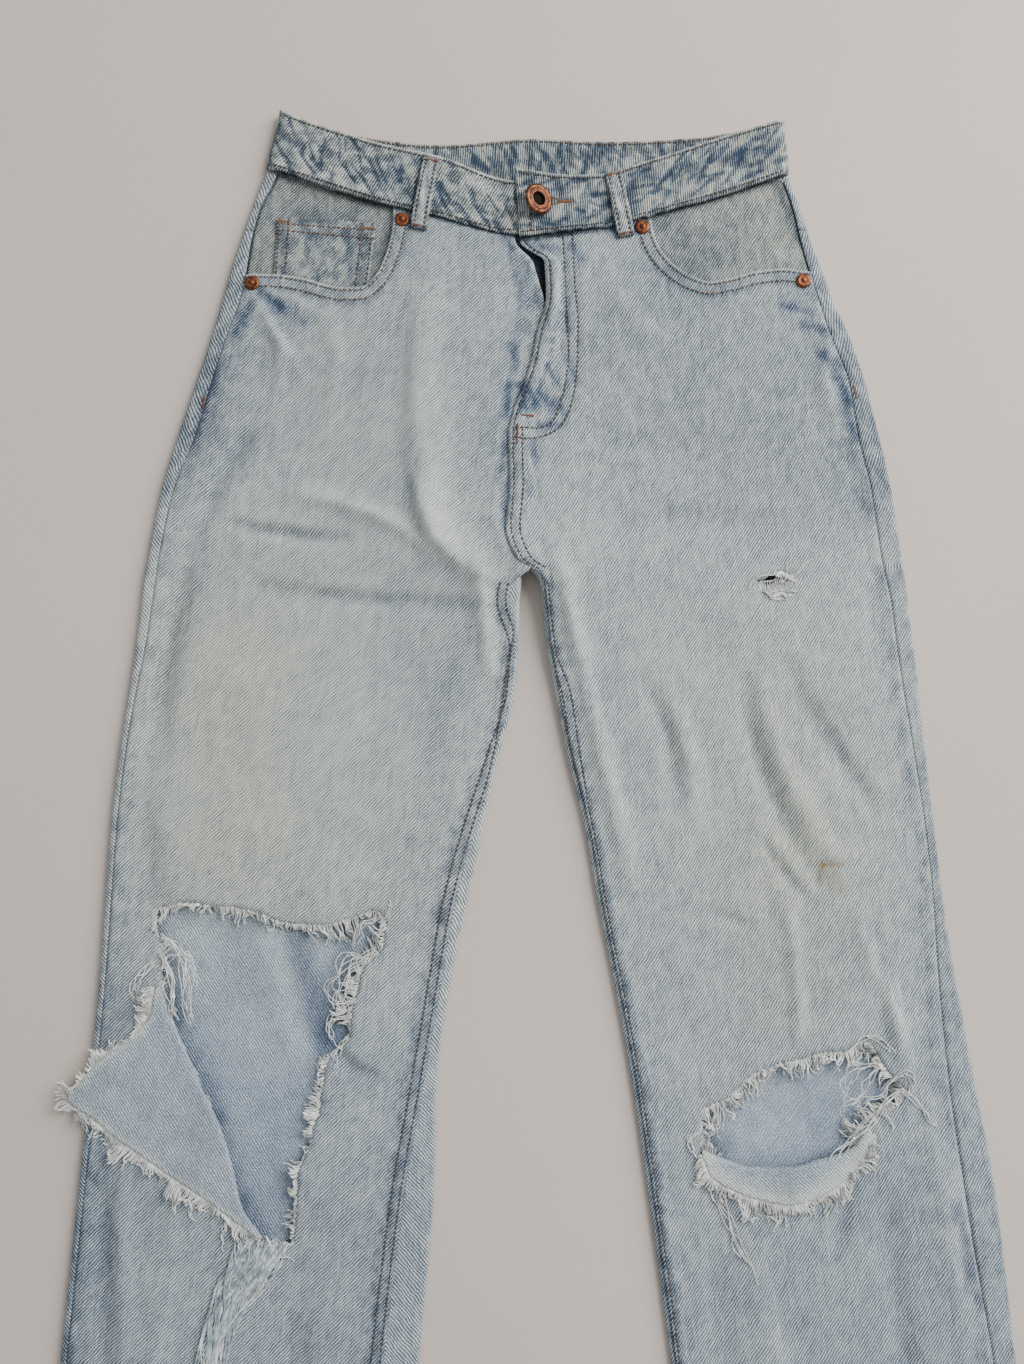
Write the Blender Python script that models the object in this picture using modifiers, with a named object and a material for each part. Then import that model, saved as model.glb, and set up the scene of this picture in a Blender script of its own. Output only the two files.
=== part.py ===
"""Ripped, bleached, straight-leg jeans, laid out flat with the front up.

Plan sizes are in millimetres: `across` runs from the centre front towards the wearer's left (+X), and
`level` runs up from the hems (+Y). Heights are above the surface that the jeans lie on. Every piece is
a wall of denim; pieces that meet at a seam, or lie on each other, stay GAP apart.
"""
import math

import bmesh
import bpy

MM = 0.001
NAME = "ripped_jeans"

# ---- driving sizes, mm
CLOTH = 1.2  # one layer of denim
THIN = 1.0  # one layer of a small patch piece
BAND = 2.2  # waistband, two layers
GAP = 0.3
EDGE_ROLL = 2.5  # radius of the rolled sides
EDGE_RISE = 2 * EDGE_ROLL
CENTRE_BACK = 4.0
CROTCH = 715.0  # level where the legs part
BETWEEN_LEGS = 12.0  # middle of the gap just under the crotch
BESIDE_SEAM = 9.0  # the last columns of a back lie this close to the centre back
CROTCH_ROOM = 1.6  # the four panels meet there with this much between them
TUCK = 12.0  # the backs keep that room down to this far under the crotch
CLIMB = (721.0, 800.0)  # levels between which the centre back rises to the crotch
CLIMB_WIDTH = 45.0
ORIGIN_ACROSS = 21.5  # middle of the laid-out width
ORIGIN_LEVEL = 508.5  # half the laid-out length
POCKET_LIFT = THIN + GAP  # the seat rises this much over a back pocket
BAND_BACK = CLOTH + GAP  # underside of the back band, over the back loops
BAND_FRONT = 7.4  # top of the front band
BAND_OVERLAP = BAND_FRONT + GAP + BAND
WAIST = 975.0  # level of the waist seam at the sides
SEAM_FADE = 760.0  # the dip of the waist seam is gone by this level
YOKE_SEAM = (936.0, 886.0)  # at the side and at the centre back
YOKE_EASE = 760.0  # level where the rows of the back have lost the yoke's slope
FLAP_LIFT = 0.8  # the turned flap rides this far over the leg
LIP_LIFT = 0.6
SAG_FROM = 3.0  # past this far from the rolled side the flap sinks
SAG = 0.2  # mm for each mm past it

# ---- columns of each panel's grid
FRONT_COLUMNS = 10
ROW_STEP = 46.0  # most between two rows
ROW_LEAST = 6.0  # least between the top row and the next section
YOKE_ROWS = 3
FACING_GRID = 6
STRIP = 1  # between a seam and the rolled edge beside it
ROLL = 4  # round a rolled edge
FLAT = 6  # over the surface below

# ---- sections of each half: outline and seams in plan, height beside the centre, loft of the cloth
SECTION = ("level", "outer", "side_seam", "front", "inner", "rise", "loft")
RIGHT = (
    (990, -155, -148, 1.8, 4, 7.4, 0.7),
    (974, -160, -152, 1.8, 4, 7.4, 0.7),
    (950, -168, -163, 1.8, 4, 7.6, 0.8),
    (928, -175, -168, 2.0, 4, 8.0, 1.2),
    (912, -180, -170, 13.5, 4, 9.2, 1.8),
    (890, -185.5, -174, 15, 4, 9.5, 2.5),
    (866, -192, -182, 11.5, 4, 9.5, 2.5),
    (836, -201, -191, 4, 4, 10.0, 2.5),
    (800, -212, -201, -0.5, 4, 11.0, 2.0),
    (768, -221, -213, 0, 4, 13.0, 1.6),
    (740, -226, -219, -2, 4, 16.0, 1.3),
    (721, -229, -222, 4, 4, 19.0, 1.0),
    (708, -231, -223.5, -6, 6, 17.0, 1.0),
    (695, -232, -225, -9, 5, 14.0, 1.0),
    (664, -235, -229, -1, 4, 9.5, 1.0),
    (639, -238, -233.5, -3, 2, 7.0, 1.0),
    (600, -243, -239, -15, -8, 6.0, 1.0),
    (554, -247, -243, -30, -18, 5.5, 1.0),
    (510, -249, -245, -42, -27, 5.2, 1.0),
    (464, -251, -247, -50, -37, 5.0, 1.0),
    (405, -255, -251, -60, -45, 5.0, 1.0),
    (335, -260, -256, -72, -47, 5.0, 1.0),
    (242, -267, -263, -83, -55, 5.0, 1.0),
    (120, -275, -271, -95, -63, 5.0, 1.0),
    (0, -283, -279, -104, -72, 5.0, 0.6),
)
LEFT = (
    (990, 172, 167, 4.5, 4, 7.4, 0.7),
    (974, 178, 173.5, 4.5, 4, 7.4, 0.7),
    (950, 187, 181.5, 4.5, 4, 7.6, 0.8),
    (928, 193, 186, 5, 4, 8.0, 1.2),
    (912, 199, 190, 20.5, 4, 9.2, 1.8),
    (890, 206, 196, 21.5, 4, 9.5, 2.5),
    (866, 216, 203, 15.5, 4, 9.5, 2.5),
    (836, 225, 214, 9.5, 4, 10.0, 2.5),
    (800, 233, 219, -0.5, 4, 11.0, 2.0),
    (768, 239.5, 226, 0, 4, 13.0, 1.6),
    (740, 243, 229.5, -2, 4, 16.0, 1.3),
    (721, 245, 232, 4, 4, 19.0, 1.0),
    (708, 247, 234.5, 21, 17, 17.0, 1.0),
    (695, 248, 237, 22.5, 18.5, 14.0, 1.0),
    (664, 251, 240, 27, 22, 9.5, 1.0),
    (639, 253, 243, 36, 26.5, 7.0, 1.0),
    (600, 256.5, 248.5, 42, 34, 6.0, 1.0),
    (554, 260, 254, 49.5, 45, 5.5, 1.0),
    (510, 264, 257.5, 56.5, 52.5, 5.2, 1.0),
    (464, 270, 259, 65.5, 61.5, 5.0, 1.0),
    (405, 279, 263, 76, 72, 5.0, 1.0),
    (335, 290, 271, 86, 82, 5.0, 1.0),
    (242, 298, 284, 98.5, 94, 5.0, 1.0),
    (120, 312, 298, 113.5, 109, 5.0, 1.0),
    (0, 326, 312, 128, 124, 5.0, 0.6),
)

# ---- largest folds: start, bend and end in plan, half width and height
FOLD_END = 0.12  # a fold starts and ends at this share of a half wave
FOLD_MARGIN = 0.1  # share of the panel's width in which folds fade beside a seam
FOLD = ("across", "level", "bend_across", "bend_level", "end_across", "end_level", "width", "height")
FOLDS = (
    (-46, 812, -40, 765, -22, 722, 20, 7.5),
    (-19, 712, -18, 685, -16, 655, 10, 3.0),
    (28, 715, 47, 640, 72, 530, 14, 2.2),
    (98, 640, 118, 600, 160, 545, 18, 1.2),
    (215, 500, 227, 455, 239, 410, 14, 2.6),
    (150, 640, 158, 585, 190, 522, 14, -1.4),
    (-180, 744, -140, 738, -100, 735, 14, -1.4),
    (-203, 720, -214, 640, -222, 590, 14, -1.2),
    (-140, 762, -90, 750, -46, 722, 16, 1.6),
)

# ---- waistband: plan of its upper and lower edges and height of its outer face, end to end
STATION = ("top_across", "top_level", "across", "level", "height")
BAND_RIGHT = (
    (27, 967, 26, 934.5, BAND_FRONT),
    (0, 968, 1, 932.5, BAND_FRONT),
    (-46, 984, -46, 944, BAND_FRONT),
    (-85, 993, -85, 953.5, BAND_FRONT),
    (-120, 1004, -121, 965, BAND_FRONT),
    (-145, 1013.5, -152, 975.5, BAND_FRONT),
    (-149.4, 1016, -157.4, 977, BAND_FRONT - 0.9),
)
BAND_AROUND = (
    (-151, 1017, -159, 977.5, 0.5 * (BAND_FRONT + BAND_BACK)),
    (-149.4, 1016.5, -157.4, 977, BAND_BACK + 0.9),
    (-145, 1014, -152, 975, BAND_BACK),
    (-100, 1001, -101, 961, BAND_BACK),
    (-46, 995, -46, 955, BAND_BACK),
    (14, 999, 14, 959, BAND_BACK),
    (60, 997, 60, 957, BAND_BACK),
    (110, 999, 110, 959, BAND_BACK),
    (140, 1003, 141, 964, BAND_BACK),
    (171, 1009, 173, 972, BAND_BACK),
    (175.4, 1010, 177.4, 973.5, BAND_BACK + 0.9),
    (177, 1010.5, 179, 974, 0.5 * (BAND_FRONT + BAND_BACK)),
)
BAND_LEFT = (
    (175.4, 1010, 177.4, 973.5, BAND_FRONT - 0.9),
    (171, 1008.5, 173, 971.5, BAND_FRONT),
    (134, 997, 134, 958, BAND_FRONT),
    (108, 988, 108, 950, BAND_FRONT),
    (80, 979, 81, 942.5, BAND_FRONT),
    (58, 972, 59, 937, BAND_FRONT + 0.4),
    (36, 970.5, 36, 933.5, BAND_OVERLAP),
    (2, 975, 4, 930, BAND_OVERLAP),
)

# ---- pocket openings, from the waist to the side seam, and the rips' outlines
OPENING_RIGHT = (
    (-76.5, 960), (-76.5, 944), (-77, 936), (-79, 926), (-83, 913), (-89, 902.5), (-97, 897), (-108, 897),
    (-120, 899.5), (-134, 903.5), (-150, 906), (-164, 906.5), (-180, 906),
)
OPENING_LEFT = (
    (89, 960), (89.5, 944), (91, 933), (96, 921), (104, 911.5), (114, 904.5), (126, 901), (140, 903.5),
    (156, 908), (174, 910), (188, 908.5), (200, 907),
)
KNEE_RIGHT = (
    (-215, 503), (-189, 505), (-165, 501), (-147, 499), (-128, 490), (-110, 492), (-79, 490), (-89, 472),
    (-97, 446), (-103, 427), (-114, 413), (-118, 385), (-124, 352), (-129, 330), (-130, 312), (-158, 320),
    (-167, 350), (-187, 396), (-200, 425), (-213, 462),
)
KNEE_LEFT = (
    (114, 378), (133, 390), (146, 402), (158, 409), (176, 411), (191, 418), (212, 420), (222, 414),
    (226, 392), (208, 377), (200, 364), (178, 358), (154, 354), (133, 357), (114, 364),
)
THIGH_LEFT = ((153, 709), (168, 711), (179, 707), (180, 700), (169, 694), (155, 692), (151, 700))

# ---- patch pieces: one edge, then the other edge, point by point
KNEE_FLAP = (
    ((-213, 461), (-206, 441), (-198, 421), (-186, 394), (-172, 363), (-165, 342), (-156, 322), (-134, 313)),
    ((-217, 458), (-233, 434), (-252, 417), (-269, 394), (-240, 374), (-213, 353), (-185, 333), (-150, 312)),
)
KNEE_LIP = (
    ((116, 363), (133, 356), (154, 353), (178, 357), (199, 363), (206, 373)),
    ((117, 357), (131, 340), (154, 328), (178, 331), (198, 343), (208, 366)),
)
TASSEL = (
    ((-159, 309), (-161, 292), (-166, 275), (-172, 258), (-178, 238), (-184, 215), (-190, 190)),
    ((-132, 306), (-145, 293), (-154, 279), (-161, 264), (-167, 245), (-174, 218), (-181, 190)),
)
COIN_SIDE = ((-152, 944), (-153, 905), (-149, 874))
COIN_CENTRE = ((-88, 936), (-89, 900), (-92, 870))
FACING_DEPTH = {"right": CLOTH + 2 * GAP + THIN, "left": CLOTH + GAP}
FACING_BOTTOM = 864.0
FACING_LOWEST = CLOTH + GAP + THIN  # clear of the back beneath it
FACING_INNER = 52.0  # from the centre to its inner edge
FACING_UNDER_BAND = 2.0
FACING_BESIDE_SEAM = 1.0
ZIP = (((1, 925), (3, 890), (0, 850), (-8, 815)), ((24, 925), (27, 890), (24, 850), (14, 815)))
ZIP_THICK = 1.3
SHIELD = (((-9, 927), (-8, 890), (-11, 850), (-16, 808)), ((38, 926), (38, 890), (33, 850), (18, 808)))
SHIELD_DEPTH = CLOTH + 2 * GAP + ZIP_THICK
LOOP_WIDTH = 11.0
LOOP_ARCH = 2.0
LOOP_SHAPE = ((0, 0), (0.1, 0), (0.22, 0.75), (0.4, 1), (0.65, 1), (0.85, 0.7), (0.94, 0), (1, 0))
BACK_LOOP_LENGTH = 37.0
FRONT_LOOPS = {"right": ((-60, 935), (-51.5, 982.5)), "left": ((73, 930), (65, 973))}
BACK_LOOPS = {"loop_back_right": -102, "loop_back_centre": 14, "loop_back_left": 130}

# ---- back pockets
BACK_POCKET_ACROSS = {"right": -98.0, "left": 110.0}
BACK_POCKET_WIDTH = 130.0
BACK_POCKET_LENGTH = 140.0
BACK_POCKET_TOP = 862.0
BACK_POCKET_TAPER = 9.0  # each side leans in by this much
BACK_POCKET_POINT = 25.0  # height of its pointed foot
POCKET_BESIDE = 18.0  # the seat stays raised this far round a pocket
POCKET_EASE = 22.0  # and comes down over this much more

# ---- metal
BUTTON_AT = (15.0, 951.0)
BUTTON_FOOT = 4.0  # radius of its foot on the cloth
BUTTON_TILT = math.radians(12)
RIVETS = {
    "rivet_right_side": (-166, 900),
    "rivet_right_front": (-70.5, 942),
    "rivet_left_front": (83.5, 937),
    "rivet_left_side": (186, 901.5),
}
BUTTON = (
    (0, 4.2), (5.5, 4.4), (6.5, 4.9), (8.8, 4.9), (10, 3.6), (9.6, 2.6), (4.6, 2.4), (BUTTON_FOOT, 0.0),
    (0, 0.0),
)
RIVET = ((0, 1.9), (1.6, 1.8), (2.2, 1.1), (3.4, 1.2), (4.6, 0.5), (4.6, 0.0), (0, 0.0))
RIVET_SEAT = GAP + 0.15  # the cloth slopes a little under it
RIVET_STEPS = 14
BUTTON_STEPS = 20
CUTTER = (-10.0, 50.0)  # its underside and top


def smooth(t):
    """Ease from 0 to 1."""
    t = min(max(t, 0.0), 1.0)
    return t * t * (3 - 2 * t)


def mix(a, b, t):
    """A value, or a place between two values."""
    return a + (b - a) * t


def read(table, columns, key, at):
    """A column of a table at any place along its first column, on a curve that never overshoots."""
    column = columns.index(key)
    rows = sorted(table)
    at = min(max(at, rows[0][0]), rows[-1][0])
    i = max(k for k in range(len(rows) - 1) if rows[k][0] <= at)
    steps = [(b[column] - a[column]) / (b[0] - a[0]) for a, b in zip(rows, rows[1:])]

    def slope(k):
        if k in (0, len(rows) - 1) or steps[k - 1] * steps[k] <= 0:
            return 0.0 if 0 < k < len(rows) - 1 else steps[min(k, len(steps) - 1)]
        return 2 * steps[k - 1] * steps[k] / (steps[k - 1] + steps[k])

    a, b = rows[i], rows[i + 1]
    span = b[0] - a[0]
    t = (at - a[0]) / span
    line = mix(a[column], b[column], smooth(t))
    return line + span * t * (1 - t) * ((1 - t) * slope(i) - t * slope(i + 1))


def section(side, key, level):
    """A column of one half's sections at a level."""
    table = RIGHT if side == "right" else LEFT
    return read(table, SECTION, key, level)


def along(points, t):
    """A point at the fraction t of a polyline, by its length."""
    lengths = [math.dist(a, b) for a, b in zip(points, points[1:])]
    want = t * sum(lengths)
    for a, b, length in zip(points, points[1:], lengths):
        if want <= length:
            return tuple(mix(p, q, want / length) for p, q in zip(a, b))
        want -= length
    return tuple(points[-1])


def fold_height(across, level):
    """What the folds add to the front's height at a point."""
    total = 0.0
    for row in FOLDS:
        fold = dict(zip(FOLD, row))
        points = [
            (fold["across"], fold["level"]),
            (fold["bend_across"], fold["bend_level"]),
            (fold["end_across"], fold["end_level"]),
        ]
        best = (1e9, 0.0)
        for i in range(2):
            (ax, ay), (bx, by) = points[i], points[i + 1]
            dx, dy = bx - ax, by - ay
            t = ((across - ax) * dx + (level - ay) * dy) / (dx * dx + dy * dy)
            t = min(max(t, 0.0), 1.0)
            best = min(best, (math.hypot(across - ax - t * dx, level - ay - t * dy), (i + t) / 2))
        fade = math.sin(math.pi * mix(FOLD_END, 1 - FOLD_END, best[1]))
        total += fold["height"] * fade * math.exp(-((best[0] / fold["width"]) ** 2))
    return total


def front_height(across, level):
    """Height of the front's outer face."""
    divide = CENTRE_BACK if level > CROTCH else BETWEEN_LEGS
    side = "right" if across < divide else "left"
    outer = section(side, "outer", level)
    inner = section(side, "inner", level)
    u = min(max((across - outer) / (inner - outer), 0.0), 1.0)
    rise = section(side, "rise", level)
    loft = section(side, "loft", level) * (1 - abs(2 * u - 1) ** 4)
    edges = smooth(min(u, 1 - u if level < CROTCH else 1.0) / FOLD_MARGIN)
    return EDGE_RISE + (rise - EDGE_RISE) * u**2 + loft + fold_height(across, level) * edges


def seat_height(across, level):
    """Height of the seat's underside: flat on the surface, and raised over the back pockets."""
    middle = BACK_POCKET_ACROSS["right" if across < CENTRE_BACK else "left"]
    beside = abs(across - middle) - 0.5 * BACK_POCKET_WIDTH
    over = level - BACK_POCKET_TOP
    under = BACK_POCKET_TOP - BACK_POCKET_LENGTH - level
    away = max(beside, over, under) - POCKET_BESIDE
    return POCKET_LIFT * (1 - smooth(away / POCKET_EASE))


def place(across, level, height):
    """A point of the garment, in metres from the origin."""
    return ((across - ORIGIN_ACROSS) * MM, (level - ORIGIN_LEVEL) * MM, height * MM)


def finish(name, colour, roughness=0.9, metallic=0.0):
    """One of the plain materials."""
    material = bpy.data.materials.new(name)
    material.use_nodes = True
    shader = material.node_tree.nodes["Principled BSDF"]
    shader.inputs["Base Color"].default_value = (*colour, 1.0)
    shader.inputs["Roughness"].default_value = roughness
    shader.inputs["Metallic"].default_value = metallic
    return material


def collection(name):
    """A new collection in the scene."""
    group = bpy.data.collections.new(name)
    bpy.context.scene.collection.children.link(group)
    return group


def add(name, bm, material, group):
    """A named object from a bmesh."""
    mesh = bpy.data.meshes.new(name)
    bm.to_mesh(mesh)
    bm.free()
    mesh.materials.append(material)
    piece = bpy.data.objects.new(name, mesh)
    group.objects.link(piece)
    return piece


def sheet(name, rows, thickness, material):
    """A wall on a grid of (across, level, height) points on its outer face, which looks up at the start."""
    bm = bmesh.new()
    grid = [[bm.verts.new(place(*point)) for point in row] for row in rows]
    for upper, lower in zip(grid, grid[1:]):
        for i in range(len(upper) - 1):
            bm.faces.new((upper[i], lower[i], lower[i + 1], upper[i + 1]))
    bm.normal_update()
    if bm.faces[:][0].normal.z < 0:
        bmesh.ops.reverse_faces(bm, faces=bm.faces)
    piece = add(name, bm, material, pieces)
    wall = piece.modifiers.new("wall", "SOLIDIFY")
    wall.thickness = thickness * MM
    wall.offset = -1.0
    return piece


def cut(piece, name, outline):
    """Cut an outline through a piece, top to bottom."""
    floor, ceiling = CUTTER
    bm = bmesh.new()
    face = bm.faces.new([bm.verts.new(place(across, level, floor)) for across, level in outline])
    top = bmesh.ops.extrude_face_region(bm, geom=[face])
    lift = [v for v in top["geom"] if isinstance(v, bmesh.types.BMVert)]
    bmesh.ops.translate(bm, vec=(0, 0, (ceiling - floor) * MM), verts=lift)
    bmesh.ops.recalc_face_normals(bm, faces=bm.faces)
    cutter = add(name, bm, piece.data.materials[0], cutters)
    cutter.hide_render = True
    cutter.display_type = "WIRE"
    hole = piece.modifiers.new(name, "BOOLEAN")
    hole.operation = "DIFFERENCE"
    hole.solver = "EXACT"
    hole.object = cutter


def row_levels(top):
    """Levels of a panel's rows, from its top down to the hem: the sections', and more between."""
    stops = [top] + [row[0] for row in RIGHT if row[0] < top - ROW_LEAST]
    levels = []
    for a, b in zip(stops, stops[1:]):
        count = max(1, math.ceil((a - b) / ROW_STEP))
        levels += [mix(a, b, i / count) for i in range(count)]
    return levels + [stops[-1]]


def seam_level(stations, across):
    """Level of the waistband's lower edge over or under a point."""
    return read([(row[2], row[3]) for row in stations], ("across", "level"), "level", across)


def front_panel(side, material):
    """A front: its top row follows the waist seam, and the rows below level out down to the hem."""
    sign = -1 if side == "right" else 1
    stations = BAND_RIGHT[1:] if side == "right" else BAND_LEFT
    top = seam_level(stations, section(side, "side_seam", WAIST))
    rows = []
    for level in row_levels(top):
        fade = smooth((level - SEAM_FADE) / (top - SEAM_FADE))
        row = []
        for i in range(FRONT_COLUMNS + 1):
            u = i / FRONT_COLUMNS
            guess = mix(section(side, "side_seam", level), section(side, "front", level), u)
            at = level - (top - seam_level(stations, guess)) * fade - GAP
            at = max(at, 0.0)
            seam = section(side, "side_seam", at) - sign * 0.5 * GAP
            middle = section(side, "front", at) + sign * 0.75 * GAP
            across = mix(seam, middle, u)
            row.append((across, at, front_height(across, at)))
        rows.append(row)
    return sheet(f"front_{side}", rows, CLOTH, material)


def back_point(side, column, level):
    """Across and height of one column of a back: side seam, rolled side, floor, then the inner edge.

    Above the crotch the inner edge is the centre back, which climbs to the crotch under the fronts;
    below it the panel rolls up round the inner leg to the inseam.
    """
    sign = -1 if side == "right" else 1
    outer = section(side, "outer", level)
    inner = section(side, "inner", level)
    rise = section(side, "rise", level)
    room = CROTCH_ROOM if level > CROTCH - TUCK else 0.0
    if column < STRIP:
        start = section(side, "side_seam", level) + sign * 0.5 * GAP
        across = mix(start, outer - sign * EDGE_ROLL, column / STRIP)
        return across, front_height(across, level)
    if column <= STRIP + ROLL:
        turn = math.pi * (column - STRIP) / ROLL
        across = outer - sign * EDGE_ROLL * (1 - math.sin(turn))
        return across, EDGE_ROLL * (1 + math.cos(turn))
    step = column - STRIP - ROLL
    start = outer - sign * EDGE_ROLL
    if level > CROTCH:
        end = inner + sign * 0.75 * GAP
        near = end + sign * BESIDE_SEAM
        if step <= FLAT:
            across = mix(start, near, step / FLAT)
        else:
            across = mix(near, end, (step - FLAT) / (ROLL + STRIP))
        low, high = CLIMB
        climb = smooth((high - level) / (high - low)) * smooth(1 - abs(across - inner) / CLIMB_WIDTH)
        return across, seat_height(across, level) + climb * (rise - 2 * CLOTH - GAP)
    if step <= FLAT:
        across = mix(start, inner + sign * EDGE_ROLL, step / FLAT)
        return across, 0.0
    if step <= FLAT + ROLL:
        turn = math.pi * (step - FLAT) / ROLL
        across = inner + sign * EDGE_ROLL * (1 - math.sin(turn))
        return across, 0.5 * (rise - room) * (1 - math.cos(turn))
    end = section(side, "front", level) - sign * max(room, 0.75 * GAP)
    across = mix(inner + sign * EDGE_ROLL, end, (step - FLAT - ROLL) / STRIP)
    return across, front_height(across, level) - room


def back_columns():
    """How many cells a back has across its grid."""
    return 2 * STRIP + 2 * ROLL + FLAT


def back_piece(name, side, tops, material):
    """A back or a yoke: tops gives each row's level at a column, by the column's share of the width."""
    rows = []
    for top in tops:
        row = []
        for column in range(back_columns() + 1):
            share = min(max(0.0, (column - STRIP - ROLL) / FLAT), 1.0)
            at = top(share)
            across, height = back_point(side, column, at)
            row.append((across, at, height))
        rows.append(row)
    return sheet(name, rows, CLOTH, material)


def back_panel(side, material):
    """A back, from the yoke seam down to the hem."""
    side_top, centre_top = YOKE_SEAM
    rows = []
    for level in row_levels(side_top - GAP):
        drop = (side_top - centre_top) * smooth((level - YOKE_EASE) / (side_top - YOKE_EASE))
        rows.append(lambda share, level=level, drop=drop: level - drop * share)
    return back_piece(f"back_{side}", side, rows, material)


def yoke(side, material):
    """The shaped piece between a back and the waistband."""
    side_top, centre_top = YOKE_SEAM
    inner = CENTRE_BACK
    outer = section(side, "outer", WAIST)
    seam = section(side, "side_seam", WAIST)
    stations = BAND_RIGHT[1:] if side == "right" else BAND_LEFT
    side_waist = min(seam_level(stations, seam), seam_level(BAND_AROUND, seam))
    rows = []
    for i in range(YOKE_ROWS + 1):

        def level(share, t=i / YOKE_ROWS):
            waist = min(side_waist, seam_level(BAND_AROUND, mix(outer, inner, share))) - GAP
            return mix(waist, mix(side_top, centre_top, share), t)

        rows.append(level)
    return back_piece(f"yoke_{side}", side, rows, material)


def waistband(material):
    """One strip of double cloth, from its end under the fly, round the body, to the buttonhole end."""
    rows = []
    for row in BAND_RIGHT + BAND_AROUND + BAND_LEFT:
        at = dict(zip(STATION, row))
        top = (at["top_across"], at["top_level"], at["height"])
        low = (at["across"], at["level"], at["height"])
        rows.append([tuple(mix(p, q, t) for p, q in zip(top, low)) for t in (0, 0.33, 0.67, 1)])
    return sheet("waistband", rows, BAND, material)


def ruled(name, edges, steps, height, thickness, material):
    """A patch between two edges, at the height that its rule gives for its outer face."""
    first, second = edges
    rows = []
    for i in range(steps[0] + 1):
        a = along(first, i / steps[0])
        b = along(second, i / steps[0])
        row = []
        for k in range(steps[1] + 1):
            across, level = (mix(p, q, k / steps[1]) for p, q in zip(a, b))
            row.append((across, level, height(across, level)))
        rows.append(row)
    return sheet(name, rows, thickness, material)


def above(offset):
    """A rule: this far above the front, sagging where the cloth reaches past the leg."""

    def height(across, level):
        past = max(0.0, section("right", "outer", level) - SAG_FROM - across)
        return front_height(across, level) + offset - SAG * past

    return height


def below(depth):
    """A rule: this far under the front's outer face."""
    return lambda across, level: front_height(across, level) - depth


def facing(side, material):
    """The denim panel seen inside a front pocket."""
    sign = -1 if side == "right" else 1
    stations = BAND_RIGHT[1:] if side == "right" else BAND_LEFT
    depth = FACING_DEPTH[side]
    inner = CENTRE_BACK + sign * FACING_INNER
    rows = []
    for i in range(FACING_GRID + 1):
        row = []
        for k in range(FACING_GRID + 1):
            u = k / FACING_GRID
            waist = seam_level(stations, mix(section(side, "side_seam", WAIST), inner, u)) - FACING_UNDER_BAND
            at = mix(waist, FACING_BOTTOM, i / FACING_GRID)
            across = mix(section(side, "side_seam", at) - sign * FACING_BESIDE_SEAM, inner, u)
            height = max(front_height(across, at) - depth, FACING_LOWEST)
            row.append((across, at, height))
        rows.append(row)
    return sheet(f"facing_{side}", rows, THIN, material)


def belt_loop(name, ends, material):
    """A loop over the front band: its ends lie flat, and its middle stands clear for the belt."""
    (ax, ay), (bx, by) = ends
    length = math.dist(*ends)
    side = ((by - ay) / length * 0.5 * LOOP_WIDTH, -(bx - ax) / length * 0.5 * LOOP_WIDTH)
    rows = []
    for t, arch in LOOP_SHAPE:
        x, y = mix(ax, bx, t), mix(ay, by, t)
        height = max(BAND_FRONT, front_height(ax, ay)) + 2 * GAP + CLOTH + arch * LOOP_ARCH
        rows.append([(x - side[0], y - side[1], height), (x + side[0], y + side[1], height)])
    return sheet(name, rows, CLOTH, material)


def flat_patch(name, outline, top, material):
    """A plain patch on the surface below, from its outline."""
    curve = bpy.data.curves.new(name, "CURVE")
    curve.dimensions = "2D"
    curve.fill_mode = "BOTH"
    curve.extrude = 0.5 * top * MM
    line = curve.splines.new("POLY")
    line.points.add(len(outline) - 1)
    for point, (across, level) in zip(line.points, outline):
        x, y, _ = place(across, level, 0)
        point.co = (x, y, 0, 1)
    line.use_cyclic_u = True
    curve.materials.append(material)
    patch = bpy.data.objects.new(name, curve)
    patch.location.z = 0.5 * top * MM
    pieces.objects.link(patch)
    return patch


def turned(name, profile, at, height, material, steps, tilt=0.0):
    """A turned piece of metal: (radius, height) points from the top of its axis down to the foot."""
    bm = bmesh.new()
    points = [bm.verts.new((radius * MM, 0, z * MM)) for radius, z in profile]
    for a, b in zip(points, points[1:]):
        bm.edges.new((a, b))
    piece = add(name, bm, material, pieces)
    spin = piece.modifiers.new("turn", "SCREW")
    spin.steps = steps
    spin.render_steps = steps
    spin.use_merge_vertices = True
    spin.merge_threshold = 0.00001
    piece.location = place(*at, height)
    piece.rotation_euler = (0, tilt, 0)
    piece.data.shade_smooth()
    return piece


for item in list(bpy.data.objects):
    bpy.data.objects.remove(item, do_unlink=True)
pieces = collection(NAME)
cutters = collection("cutters")
washed = finish("washed_denim", (0.36, 0.40, 0.43))
trim = finish("trim_denim", (0.24, 0.29, 0.33))
copper = finish("copper", (0.30, 0.14, 0.09), 0.4, 0.9)
dark = finish("dark_tape", (0.05, 0.07, 0.09))
thread = finish("thread", (0.30, 0.36, 0.42))

# fronts, with the pocket openings and the rips cut out
front_right = front_panel("right", washed)
cut(front_right, "opening_right", OPENING_RIGHT + ((-240, 906), (-240, 1010), (-76.5, 1010)))
cut(front_right, "knee_right", KNEE_RIGHT)
front_left = front_panel("left", washed)
cut(front_left, "opening_left", OPENING_LEFT + ((260, 907), (260, 1010), (89, 1010)))
cut(front_left, "knee_left", KNEE_LEFT)
cut(front_left, "thigh_left", THIGH_LEFT)

# backs, yokes and the waistband
for half in ("right", "left"):
    back_panel(half, washed)
    yoke(half, trim)
    facing(half, trim)
waistband(trim)

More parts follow.
